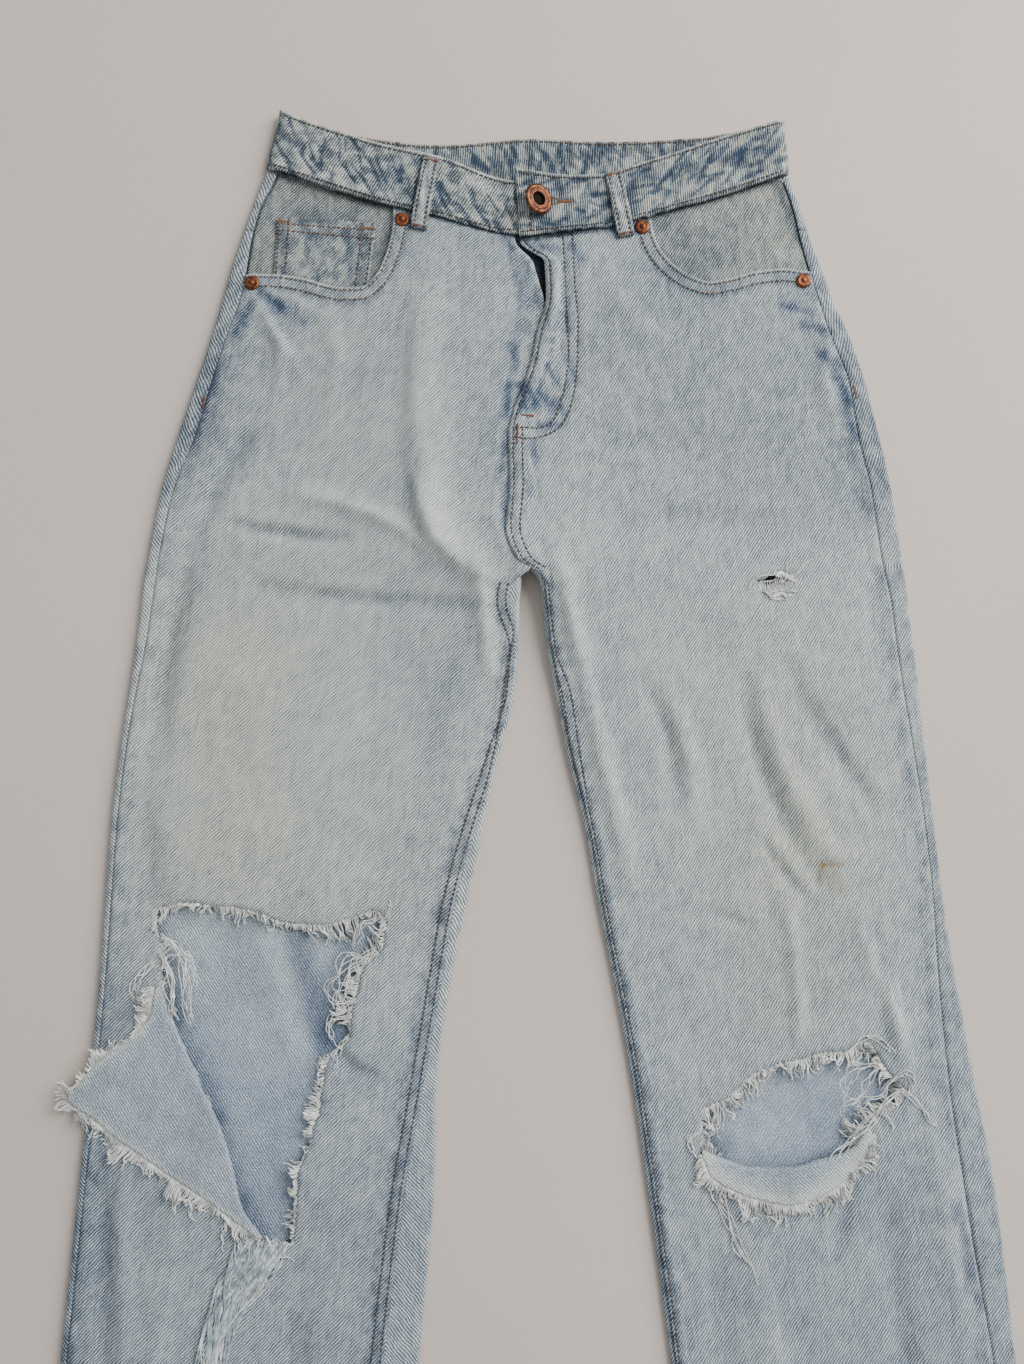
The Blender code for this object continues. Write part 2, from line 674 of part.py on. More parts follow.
# back pockets, flat on the surface under the seat
for half, middle in BACK_POCKET_ACROSS.items():
    half_top = 0.5 * BACK_POCKET_WIDTH
    half_low = half_top - BACK_POCKET_TAPER
    low = BACK_POCKET_TOP - BACK_POCKET_LENGTH
    shape = [
        (middle - half_top, BACK_POCKET_TOP),
        (middle - half_low, low + BACK_POCKET_POINT),
        (middle, low),
        (middle + half_low, low + BACK_POCKET_POINT),
        (middle + half_top, BACK_POCKET_TOP),
    ]
    flat_patch(f"back_pocket_{half}", shape, THIN, washed)

# coin pocket between the right facing and the right front
ruled("coin_pocket", (COIN_SIDE, COIN_CENTRE), (4, 4), below(CLOTH + GAP), THIN, washed)

# fly: the shield under the zip, and the zip under the two fronts
ruled("fly_shield", SHIELD, (6, 3), below(SHIELD_DEPTH), THIN, trim)
ruled("zip", ZIP, (6, 2), below(CLOTH + GAP), ZIP_THICK, dark)

# belt loops: two on the front, three under the back band
for half, ends in FRONT_LOOPS.items():
    belt_loop(f"loop_front_{half}", ends, trim)
for name, middle in BACK_LOOPS.items():
    half = 0.5 * LOOP_WIDTH
    low = max(seam_level(BAND_AROUND, middle + end) for end in (-half, half)) + 2 * GAP
    top = low + BACK_LOOP_LENGTH
    left, right = middle - half, middle + half
    flat_patch(name, [(left, top), (left, low), (right, low), (right, top)], THIN, trim)

# torn cloth: the flap folded off the right knee, the lip under the left rip, and loose warp threads
ruled("knee_flap", KNEE_FLAP, (12, 8), above(FLAP_LIFT + CLOTH), CLOTH, washed)
ruled("knee_lip", KNEE_LIP, (8, 2), above(LIP_LIFT + CLOTH), CLOTH, washed)
ruled("thread_tassel", TASSEL, (8, 2), above(GAP + CLOTH), CLOTH, thread)

# metal
seat = BAND_OVERLAP + GAP + BUTTON_FOOT * math.sin(BUTTON_TILT)
turned("button", BUTTON, BUTTON_AT, seat, copper, BUTTON_STEPS, BUTTON_TILT)
for name, at in RIVETS.items():
    turned(name, RIVET, at, front_height(*at) + RIVET_SEAT, copper, RIVET_STEPS)
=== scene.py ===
"""Ripped, bleached jeans laid out flat with the front up: the looks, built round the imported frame.

Plan sizes are in millimetres, as a pattern cutter would note them: `across` runs from the centre front
towards the wearer's left (+X) and `level` runs up from the hems (+Y). Heights are above the table.
Right and left are the wearer's. The sections follow the order in which the garment is put together.
"""
import math

import bmesh
import bpy
import numpy as np
from mathutils import Matrix, Vector
from mathutils.geometry import delaunay_2d_cdt
from mathutils.kdtree import KDTree


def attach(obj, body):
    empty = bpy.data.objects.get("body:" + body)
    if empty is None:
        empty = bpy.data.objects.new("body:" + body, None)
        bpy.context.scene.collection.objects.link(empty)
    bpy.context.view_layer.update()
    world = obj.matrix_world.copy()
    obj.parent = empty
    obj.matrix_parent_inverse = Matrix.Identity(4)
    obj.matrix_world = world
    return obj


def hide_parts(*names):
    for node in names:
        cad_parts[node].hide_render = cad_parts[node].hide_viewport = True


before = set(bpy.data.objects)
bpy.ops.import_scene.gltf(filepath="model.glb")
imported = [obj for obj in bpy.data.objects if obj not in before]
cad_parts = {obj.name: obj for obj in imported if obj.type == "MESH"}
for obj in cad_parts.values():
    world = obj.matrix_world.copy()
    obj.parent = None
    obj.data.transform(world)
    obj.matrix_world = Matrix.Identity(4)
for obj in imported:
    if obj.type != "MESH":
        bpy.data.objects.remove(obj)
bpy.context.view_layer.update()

# ---- The table, the window light and the camera --------------------------------------------------
# A matt, pale painted table top, wider than the view. One large window lights it softly from the
# upper right and the room fills the shadows. The camera looks almost straight down over the thighs.

MM = 0.001
TABLE_SIZE = 3.2
TABLE_UNDER = 0.0003  # below the cloth
TABLE_CELLS = 4
WINDOW_AT = (1.78, 1.16, 1.47)
WINDOW_AIM = (0.0, 0.0, 0.0)
WINDOW_SIZE = (1.7, 2.0)
WINDOW_POWER = 130.0
WINDOW_COLOUR = (1.0, 0.985, 0.96)
ROOM_LIGHT = (0.93, 0.96, 1.0)
ROOM_STRENGTH = 0.61
CAMERA_AT = (-0.0215, 0.0746, 0.7077)
CAMERA_TILT = 5.0  # degrees from straight down
CAMERA_LENS = 30.0


class Wire:
    """One socket of a node tree: arithmetic on it adds Math nodes, and node() adds any other node."""

    def __init__(self, tree, socket=None):
        self.tree = tree
        self.socket = socket

    def node(self, kind, settings=None, values=None, output=0):
        """A node: its settings first, then the values or links of its sockets."""
        made = self.tree.nodes.new(kind)
        for key, value in (settings or {}).items():
            if key == "stops":
                for _ in range(len(value) - 2):
                    made.color_ramp.elements.new(0.5)
                for stop, (place_on_ramp, colour) in zip(made.color_ramp.elements, value):
                    stop.position = place_on_ramp
                    stop.color = (*colour, 1.0)
            else:
                setattr(made, key, value)
        for key, value in (values or {}).items():
            if isinstance(value, Wire):
                self.tree.links.new(value.socket, made.inputs[key])
            else:
                made.inputs[key].default_value = value
        return Wire(self.tree, made.outputs[output]) if len(made.outputs) else made

    def math(self, operation, *values, clamp=False):
        settings = {"operation": operation, "use_clamp": clamp}
        return self.node("ShaderNodeMath", settings, dict(enumerate(values)))

    def __add__(self, other):
        return self.math("ADD", self, other)

    def __sub__(self, other):
        return self.math("SUBTRACT", self, other)

    def __rsub__(self, other):
        return self.math("SUBTRACT", other, self)

    def __mul__(self, other):
        return self.math("MULTIPLY", self, other)

    def sine(self):
        return self.math("SINE", self)

    __radd__ = __add__
    __rmul__ = __mul__

    def clamped(self):
        return self.math("ADD", self, 0.0, clamp=True)

    def ease(self, low, high):
        """0 below low, 1 above high, and a smooth step between."""
        kind = {"interpolation_type": "SMOOTHSTEP"}
        return self.node("ShaderNodeMapRange", kind, {0: self, 1: low, 2: high})

    def blend(self, first, second):
        """From the first colour to the second as this value goes from 0 to 1."""
        kind = {"data_type": "RGBA", "clamp_factor": True}
        return self.node("ShaderNodeMix", kind, {0: self, 6: first, 7: second}, output=2)

    def vector(self, operation, other, output=0):
        """Arithmetic on this vector with another, or with a number when it is SCALE."""
        values = {0: self, "Scale" if operation == "SCALE" else 1: other}
        return self.node("ShaderNodeVectorMath", {"operation": operation}, values, output)

    def noise(self, scale, detail=2.0, roughness=0.5):
        """Noise over this vector; scale may differ by axis."""
        turned = self.node("ShaderNodeMapping", {"vector_type": "POINT"}, {"Vector": self, "Scale": scale})
        values = {"Vector": turned, "Scale": 1.0, "Detail": detail, "Roughness": roughness}
        return self.node("ShaderNodeTexNoise", None, values)


def finish(name, roughness, **constants):
    """A new material's start: a wire on its tree, and its Principled shader with constant settings."""
    material = bpy.data.materials.new(name)
    material.use_nodes = True
    shader = material.node_tree.nodes["Principled BSDF"]
    shader.inputs["Roughness"].default_value = roughness
    for key, value in constants.items():
        shader.inputs[key.replace("_", " ")].default_value = value
    return material, Wire(material.node_tree), shader


def surface(name, roughness, **constants):
    """The start of a finish without thread lines: its wire gives the place on the object, in metres."""
    material, start, shader = finish(name, roughness, **constants)
    return material, start.node("ShaderNodeTexCoord", output="Object"), shader


def plug(wire, shader, socket):
    """Link a wire to one of a shader's sockets."""
    wire.tree.links.new(wire.socket, shader.inputs[socket])


def paint(shader, amount, dark, light):
    """Colour a shader from one tone to another by an amount."""
    plug(amount.blend((*dark, 1), (*light, 1)), shader, "Base Color")


def emboss(shader, height, strength, distance):
    """Give a shader fine relief, its distance in metres."""
    values = {"Strength": strength, "Distance": distance, "Height": height}
    plug(height.node("ShaderNodeBump", None, values), shader, "Normal")


def table_paint():
    """Pale warm paint with a faint fine tooth and slow uneven patches."""
    material, where, shader = surface("table_paint", 0.75)
    patch = where.noise((2.2, 2.2, 2.2), 3.0)
    tooth = where.noise((900, 900, 900), 2.0)
    shade = patch * 0.5 + tooth * 0.5
    paint(shader, shade.ease(0.3, 0.7), (0.50, 0.436, 0.382), (0.566, 0.494, 0.432))
    emboss(shader, tooth, 0.25, 0.0004)
    return material


def put(name, data):
    """A new object in the scene."""
    made = bpy.data.objects.new(name, data)
    bpy.context.scene.collection.objects.link(made)
    return made


def from_bmesh(name, bm, material):
    """An object of its own from a bmesh."""
    mesh = bpy.data.meshes.new(name)
    bm.to_mesh(mesh)
    bm.free()
    mesh.materials.append(material)
    return put(name, mesh)


top = bmesh.new()
bmesh.ops.create_grid(top, x_segments=TABLE_CELLS, y_segments=TABLE_CELLS, size=TABLE_SIZE / 2)
bmesh.ops.translate(top, vec=(0, 0, -TABLE_UNDER), verts=top.verts)
table = from_bmesh("table_top", top, table_paint())

window_light = bpy.data.lights.new("window", "AREA")
window_light.shape = "RECTANGLE"
window_light.size, window_light.size_y = WINDOW_SIZE
window_light.energy = WINDOW_POWER
window_light.color = WINDOW_COLOUR
window = put("window", window_light)
window.location = WINDOW_AT
window.rotation_euler = (Vector(WINDOW_AIM) - Vector(WINDOW_AT)).to_track_quat("-Z", "Y").to_euler()

room = bpy.data.worlds.new("room")
room.use_nodes = True
room.node_tree.nodes["Background"].inputs["Color"].default_value = (*ROOM_LIGHT, 1)
room.node_tree.nodes["Background"].inputs["Strength"].default_value = ROOM_STRENGTH
bpy.context.scene.world = room

camera = put("camera", bpy.data.cameras.new("camera"))
camera.data.lens = CAMERA_LENS
camera.location = CAMERA_AT
camera.rotation_euler = (math.radians(CAMERA_TILT), 0, 0)
bpy.context.scene.camera = camera

# ---- Backs ---------------------------------------------------------------------------------------
# The two back legs lie on the table: 12 oz cotton twill, bleached almost white. Each rolls up round
# the sides of its leg to the seams, so a strip of it shows outside the side seam and the inseam.

CLOTH = 1.2
EDGE_ROLL = 2.5
EDGE_RISE = 2 * EDGE_ROLL  # a leg's rolled edge stands this high
CENTRE_BACK = 4.0
CROTCH = 715.0
CROTCH_ROOM = 1.6  # between front and back cloth at the crotch
BESIDE_SEAM = 9.0
CLIMB = (721.0, 800.0)  # levels between which the centre back comes up under the fronts
CLIMB_WIDTH = 45.0
POCKET_LIFT = 1.3  # the seat is raised this much by a back pocket under it
YOKE_SEAM = (936.0, 886.0)
# middle, width, length and level of the top of each back pocket
BACK_POCKET = {"right": (-98.0, 130.0, 140.0, 862.0), "left": (110.0, 130.0, 140.0, 862.0)}
YOKE_EASE = 760.0  # the rows of a back run level below this
WAIST = 975.0
GRAIN = {"right": math.radians(-6.5), "left": math.radians(6.5)}  # each leg's lengthwise thread
ORIGIN = (21.5, 508.5)  # across and level of the frame's origin

# by level: height beside the centre and loft of the cloth, then the outline, side seam, front seam and
# inner side of the right leg, and the same four of the left
SECTION = {"rise": 1, "loft": 2, "outer": 3, "side_seam": 4, "front": 5, "inner": 6}
LEFT_LEG = 4  # columns further on
LEGS = (
    (990, 7.4, 0.7, -155, -148, 1.8, 4, 172, 167, 4.5, 4),
    (974, 7.4, 0.7, -160, -152, 1.8, 4, 178, 173.5, 4.5, 4),
    (950, 7.6, 0.8, -168, -163, 1.8, 4, 187, 181.5, 4.5, 4),
    (928, 8.0, 1.2, -175, -168, 2.0, 4, 193, 186, 5, 4),
    (912, 9.2, 1.8, -180, -170, 13.5, 4, 199, 190, 20.5, 4),
    (890, 9.5, 2.5, -185.5, -174, 15, 4, 206, 196, 21.5, 4),
    (866, 9.5, 2.5, -192, -182, 11.5, 4, 216, 203, 15.5, 4),
    (836, 10.0, 2.5, -201, -191, 4, 4, 225, 214, 9.5, 4),
    (800, 11.0, 2.0, -212, -201, -0.5, 4, 233, 219, -0.5, 4),
    (768, 13.0, 1.6, -221, -213, 0, 4, 239.5, 226, 0, 4),
    (740, 16.0, 1.3, -226, -219, -2, 4, 243, 229.5, -2, 4),
    (721, 19.0, 1.0, -229, -222, 4, 4, 245, 232, 4, 4),
    (708, 17.0, 1.0, -231, -223.5, -6, 6, 247, 234.5, 21, 17),
    (695, 14.0, 1.0, -232, -225, -9, 5, 248, 237, 22.5, 18.5),
    (664, 9.5, 1.0, -235, -229, -1, 4, 251, 240, 27, 22),
    (639, 7.0, 1.0, -238, -233.5, -3, 2, 253, 243, 36, 26.5),
    (600, 6.0, 1.0, -243, -239, -15, -8, 256.5, 248.5, 42, 34),
    (554, 5.5, 1.0, -247, -243, -30, -18, 260, 254, 49.5, 45),
    (510, 5.2, 1.0, -249, -245, -42, -27, 264, 257.5, 56.5, 52.5),
    (464, 5.0, 1.0, -251, -247, -50, -37, 270, 259, 65.5, 61.5),
    (405, 5.0, 1.0, -255, -251, -60, -45, 279, 263, 76, 72),
    (335, 5.0, 1.0, -260, -256, -72, -47, 290, 271, 86, 82),
    (242, 5.0, 1.0, -267, -263, -83, -55, 298, 284, 98.5, 94),
    (120, 5.0, 1.0, -275, -271, -95, -63, 312, 298, 113.5, 109),
    (0, 5.0, 0.6, -283, -279, -104, -72, 326, 312, 128, 124),
)

# creases: start, bend and end, softness on the left and on the right of the way along it, height
CREASES = (
    (-57, 892, -60, 820, -57, 752, 19.2, 7.2, 3.8), (-58, 772, -50, 738, -22, 711, 16, 4.8, 6.8),
    (-20, 716, -18, 690, -15, 652, 5.6, 5.6, 4.1), (-14, 752, -8, 738, 0, 722, 4.8, 4.8, 2.1),
    (27, 722, 35, 690, 41, 662, 6.4, 4.8, 4.1), (39, 672, 56, 598, 73, 520, 7.2, 6.4, 3.8),
    (85, 641, 98, 606, 101, 570, 4.8, 6.4, -2.8), (96, 636, 109, 600, 113, 560, 6.4, 7.2, 2.4),
    (144, 647, 156, 585, 190, 517, 6.4, 5.6, -3.4), (156, 640, 168, 590, 200, 530, 7.2, 6.4, 2.1),
    (171, 654, 197, 606, 223, 568, 5.6, 7.2, -3.1), (183, 531, 192, 534, 203, 533, 2.4, 2.4, -2.1),
    (152, 548, 166, 528, 184, 508, 3.2, 4, -2.4), (119, 504, 132, 500, 146, 494, 3.2, 3.2, -2),
    (168, 502, 172, 470, 173, 429, 4.8, 4, 3.1), (212, 500, 227, 452, 239, 412, 5.6, 6.4, 4.1),
    (217, 497, 224, 462, 226, 427, 4, 4.8, -3.1), (204, 347, 199, 325, 191, 300, 4.8, 5.6, -2.4),
    (265, 321, 270, 300, 272, 277, 5.6, 4.8, -2.1), (-180, 745, -140, 738, -104, 735, 3.2, 4.8, -3.9),
    (-157, 706, -100, 697, -20, 692, 4, 6.4, -3.3), (-141, 763, -88, 750, -46, 721, 7.2, 4.8, 3.8),
    (-164, 804, -178, 782, -202, 731, 6.4, 6.4, -3.3), (-203, 720, -215, 650, -222, 594, 7.2, 8, -3.1),
    (-225, 574, -223, 540, -220, 504, 8, 7.2, -2), (-164, 889, -150, 866, -134, 842, 3.2, 4, 2.4),
    (-160, 895, -141, 888, -120, 878, 3.2, 3.2, 2), (-150, 872, -147, 850, -150, 820, 4.8, 4, 1.8),
    (-118, 885, -112, 850, -116, 805, 5.6, 5.6, 1.5), (-245, 349, -244, 300, -240, 240, 6.4, 7.2, -2.8),
    (-233, 344, -231, 300, -227, 241, 5.6, 4.8, 2), (-110, 424, -96, 412, -78, 404, 4, 5.6, -3.1),
    (-205, 300, -210, 250, -216, 180, 8, 8, 1.8), (-122, 290, -130, 230, -138, 120, 9.6, 9.6, -2),
    (-170, 130, -176, 80, -180, 20, 9.6, 8, 1.8), (145, 300, 156, 230, 166, 130, 9.6, 8, 2),
    (221, 330, 232, 250, 240, 140, 8, 8, -2.4), (251, 385, 262, 310, 274, 200, 7.2, 7.2, 2),
    (120, 300, 126, 250, 137, 170, 7.2, 7.2, -1.8), (200, 150, 208, 90, 214, 20, 9.6, 8, 2),
    (60, 905, 75, 880, 100, 862, 6.4, 6.4, 1.8), (50, 800, 90, 792, 140, 796, 9.6, 9.6, -1.8),
    (60, 742, 110, 748, 180, 744, 8, 11.2, -2), (205, 868, 198, 840, 206, 800, 5.6, 4.8, 2.1),
)
CREASE_ENDS = 0.12  # a crease starts and ends at this share of a half wave
CREASE_STEPS = 10
INSIDE_FOLD = (-138, 500, -114, 455, -108, 385, 5, 34, 3.6)  # in the back, seen through the right knee
# painted shade and highlight on the inside of the backs, seen through the tears: cast shadows beside the
# flap's fold, under the lip and torn edges, and dark corners and holes, with negative amounts for painted
# highlights; start, end, half width, amount
PAINTED_SHADE_IN_TEARS = (
    (-131, 492, -112, 424, 7, 0.85), (-100, 496, -102, 440, 12, 0.62), (-110, 436, -114, 400, 6, 0.26),
    (-147, 490, -128, 422, 6, -0.40), (-122, 345, -128, 322, 14, 0.26), (-172, 430, -150, 360, 26, 0.05),
    (-203, 440, -178, 382, 6, 0.50), (-178, 382, -163, 333, 6, 0.50), (-163, 333, -150, 315, 6, 0.50),
    (-213, 472, -206, 440, 6, 0.75), (-217, 500, -215, 486, 3, 0.60), (-190, 500, -150, 494, 6, 0.12),
    (-185, 470, -170, 420, 12, -0.12), (-150, 400, -140, 350, 9, 0.12), (-128, 497, -84, 497, 5, 0.35),
    (229, 402, 236, 397, 7, 0.90), (213, 384, 227, 392, 6, 0.50), (117, 373, 124, 362, 7, 0.80),
    (146, 354, 200, 358, 5, 0.40), (150, 392, 160, 372, 9, -0.15), (178, 405, 186, 378, 8, 0.16),
    (196, 408, 204, 384, 6, -0.12), (154, 706, 177, 709, 7, 1.7),
)


def smooth(t):
    """Ease from 0 to 1."""
    t = np.clip(t, 0.0, 1.0)
    return t * t * (3 - 2 * t)


def mix(a, b, t):
    """A place between two values."""
    return a + (b - a) * t


def hump(distance, width):
    """1 where the distance is nothing, falling softly to 0 within a few widths."""
    return np.exp(-((distance / width) ** 2))


def read(rows, column, at):
    """A column of a table at any place along its first column, on a curve that never overshoots."""
    rows = np.array(rows, float)
    rows = rows[np.argsort(rows[:, 0])]
    x, y = rows[:, 0], rows[:, column]
    steps = np.diff(y) / np.diff(x)
    slopes = np.concatenate((steps[:1], np.zeros(len(x) - 2), steps[-1:]))
    before, after = steps[:-1], steps[1:]
    rising = before * after > 0
    slopes[1:-1][rising] = (2 * before * after)[rising] / (before + after)[rising]
    at = np.clip(at, x[0], x[-1])
    i = np.clip(np.searchsorted(x, at, side="right") - 1, 0, len(x) - 2)
    span = x[i + 1] - x[i]
    t = (at - x[i]) / span
    bow = (1 - t) * slopes[i] - t * slopes[i + 1]
    return mix(y[i], y[i + 1], smooth(t)) + span * t * (1 - t) * bow


def section(side, key, level):
    """A column of one leg's sections at a level."""
    column = SECTION[key] + (LEFT_LEG if side == "left" and SECTION[key] > 2 else 0)
    return read(LEGS, column, level)


def beside(route, across, level, reach=60.0):
    """Distance from a route, its sign (left of the way along it is positive) and the share along it.
    Points further than reach are left far away."""
    across, level = np.broadcast_arrays(across, level)
    best = np.full(across.shape, 1e9)
    sign = np.ones(across.shape)
    share = np.zeros(across.shape)
    route = np.asarray(route, float)
    low, high = route.min(axis=0) - reach, route.max(axis=0) + reach
    near_by = (across > low[0]) & (across < high[0]) & (level > low[1]) & (level < high[1])
    if np.ndim(across) and not near_by.all():
        if near_by.any():
            found = beside(route, across[near_by], level[near_by], 1e9)
            best[near_by], sign[near_by], share[near_by] = found
        return best, sign, share
    count = len(route) - 1
    for i in range(count):
        (ax, ay), (bx, by) = route[i], route[i + 1]
        dx, dy = bx - ax, by - ay
        t = np.clip(((across - ax) * dx + (level - ay) * dy) / (dx * dx + dy * dy), 0, 1)
        far = np.hypot(across - ax - t * dx, level - ay - t * dy)
        near = far < best
        best = np.where(near, far, best)
        sign = np.where(near, np.sign(dx * (level - ay) - dy * (across - ax)), sign)
        share = np.where(near, (i + t) / count, share)
    return best, sign, share


def crease(row, across, level):
    """The height that one crease adds."""
    start, bend, end = np.array(row[:6], float).reshape(3, 2)
    pull = 2 * bend - 0.5 * (start + end)
    t = np.linspace(0, 1, CREASE_STEPS)[:, None]
    route = (1 - t) ** 2 * start + 2 * t * (1 - t) * pull + t**2 * end
    far, sign, share = beside(route, across, level)
    width = np.where(sign > 0, row[6], row[7])
    fade = np.sin(np.pi * mix(CREASE_ENDS, 1 - CREASE_ENDS, share))
    return row[8] * fade * hump(far, width)


def unevenness(across, level):
    """Slow, shallow waves of cloth that was never pressed."""
    slow = np.sin(across / 19 + 1.3 + 0.9 * np.sin(level / 47))
    slow = slow * np.sin(level / 31 + 0.7 + 0.5 * np.sin(across / 37))
    quick = np.sin(across / 8.3 + level / 17 + np.sin(level / 23)) * np.sin(level / 11.7 - across / 29)
    return 0.30 * slow + 0.14 * quick


def front_height(side, across, level):
    """Height of the front's outer face."""
    outer = section(side, "outer", level)
    inner = section(side, "inner", level)
    u = np.clip((across - outer) / (inner - outer), 0, 1)
    rise = section(side, "rise", level)
    loft = section(side, "loft", level) * (1 - np.abs(2 * u - 1) ** 4)
    edge = np.minimum(u, np.where(level < CROTCH, 1 - u, 1.0))
    folds = unevenness(across, level) + sum(crease(row, across, level) for row in CREASES)
    return EDGE_RISE + (rise - EDGE_RISE) * u**2 + loft + folds * smooth(edge * 12)


def seat_height(side, across, level):
    """Height of the seat's underside: flat on the table, and raised over the back pockets."""
    middle, width, length, top_level = BACK_POCKET[side]
    away = np.maximum(np.abs(across - middle) - 0.5 * width, level - top_level)
    away = np.maximum(away, top_level - length - level) - 18.0
    return POCKET_LIFT * (1 - smooth(away / 22.0))


def back_at(side, s, level):
    """Across and height on a back's outer face, by s: 0 is the side seam, 1 to 2 goes round the rolled
    side, 3 is the far end of the floor, 4 the top of the inner roll and 5 the inseam or centre back."""
    sign = -1 if side == "right" else 1
    outer = section(side, "outer", level)
    inner = section(side, "inner", level)
    rise = section(side, "rise", level)
    front = section(side, "front", level)
    seam = section(side, "side_seam", level) + sign * 0.02
    start = outer - sign * EDGE_ROLL
    strip = mix(seam, start, s)
    turn = np.pi * (s - 1)
    rolled = outer - sign * EDGE_ROLL * (1 - np.sin(turn))
    # above the crotch the floor ends at the centre back, which climbs under the fronts
    end = inner + sign * 0.25
    near = end + sign * BESIDE_SEAM
    low, high = CLIMB
    seat = np.where(s < 3, mix(start, near, s - 2), mix(near, end, (s - 3) / 2))
    climb = smooth((high - level) / (high - low)) * smooth(1 - np.abs(seat - inner) / CLIMB_WIDTH)
    seat_up = seat_height(side, seat, level) + climb * (rise - 2 * CLOTH - 0.3)
    # below it the floor rolls up round the inner side of the leg
    room = np.where(level > CROTCH - 12, CROTCH_ROOM, 0.9)
    floor = mix(start, inner + sign * EDGE_ROLL, s - 2)
    turn_in = np.pi * (s - 3)
    inner_roll = inner + sign * EDGE_ROLL * (1 - np.sin(turn_in))
    inner_up = 0.5 * (rise - room) * (1 - np.cos(turn_in))
    last = mix(inner + sign * EDGE_ROLL, front - sign * np.where(room > 1, room, 0.2), s - 4)
    is_seat = level > CROTCH
    across = np.select(
        [s < 1, s <= 2, is_seat, s <= 3, s <= 4], [strip, rolled, seat, floor, inner_roll], last
    )
    on_top = front_height(side, across, level) - np.where(s < 1, 0.25 * smooth(1 - s * 2), room)
    height = np.select(
        [s < 1, s <= 2, is_seat, s <= 3, s <= 4],
        [on_top, EDGE_ROLL * (1 + np.cos(turn)), seat_up, np.zeros_like(s), inner_up],
        on_top,
    )
    lying = (s > 2) & (s <= 3) & ~is_seat
    return across, height + np.where(lying, crease(INSIDE_FOLD, across, level), 0)


def metres(across, level, height):
    """Points in the frame's metres."""
    points = np.stack(np.broadcast_arrays(across - ORIGIN[0], level - ORIGIN[1], height), axis=-1)
    return points.reshape(-1, 3) * MM


def blotches(rows, across, level):
    """Soft-edged strokes added up; a row is a start, an end, a half width and an amount."""
    total = np.zeros(np.shape(across))
    for ax, ay, bx, by, width, amount in rows:
        far, _, _ = beside(((ax, ay), (bx, by)), across, level)
        total += amount * hump(far, width)
    return total


def seam_dashes(side, key, inset, levels, pitch, size, amount, seed):
    """Blue left in the puckers of a seam: short strokes beside it, unevenly spaced."""
    rng = np.random.default_rng(seed)
    rows = []
    level = levels[0]
    while level > levels[1]:
        x = float(section(side, key, level)) + inset + rng.normal(0, 1.2)
        long = size[1] * rng.uniform(0.4, 1.5)
        lean = rng.normal(0, 2.2)
        wide = size[0] * rng.uniform(0.7, 1.3)
        rows.append((x, level, x + lean, level - long, wide, amount * rng.uniform(0.2, 1.4)))
        level -= pitch * rng.uniform(0.6, 1.5)
    return rows


# how the bleach left the legs: pale thighs, bluer hips and shins; the amounts are shares of the full colour
LEG_DYE = (
    (0, 0.44), (300, 0.42), (400, 0.39), (460, 0.36), (510, 0.33), (560, 0.30), (650, 0.295), (720, 0.32),
    (790, 0.375), (860, 0.405), (1000, 0.43),
)
CREAM = (
    (-170, 640, -175, 560, 52, 0.8), (-150, 700, -180, 640, 60, 0.5), (-150, 545, -190, 520, 40, 0.6),
    (150, 640, 175, 560, 42, 0.98), (165, 520, 175, 470, 40, 0.8), (160, 440, 130, 400, 35, 0.45),
    (-110, 860, -90, 800, 45, 0.2), (-215, 700, -222, 640, 16, 0.4), (100, 840, 140, 780, 60, 0.2),
    (-60, 560, -120, 480, 40, 0.3),
)
BLUE = (
    (-20, 800, -30, 640, 34, 0.04), (40, 700, 70, 560, 22, 0.07), (-40, 640, -60, 500, 14, 0.04),
    (-60, 480, -95, 300, 20, -0.01), (-95, 300, -110, 60, 24, 0.02), (-235, 460, -262, 120, 24, 0.08),
    (235, 700, 268, 400, 14, 0.06), (100, 420, 130, 200, 20, -0.035), (240, 360, 275, 120, 24, 0.03),
    (100, 860, 190, 760, 50, 0.08), (-150, 730, -150, 540, 70, -0.03), (110, 730, 160, 600, 60, 0.022),
    (-222, 740, -228, 640, 12, -0.05), (-180, 860, -200, 780, 14, 0.10), (204, 850, 228, 760, 16, 0.12),
    (-60, 800, -58, 740, 9, 0.10), (-72, 700, -80, 640, 12, 0.05), (-30, 690, -50, 590, 10, 0.07),
    (-190, 730, -220, 640, 9, 0.07),
)
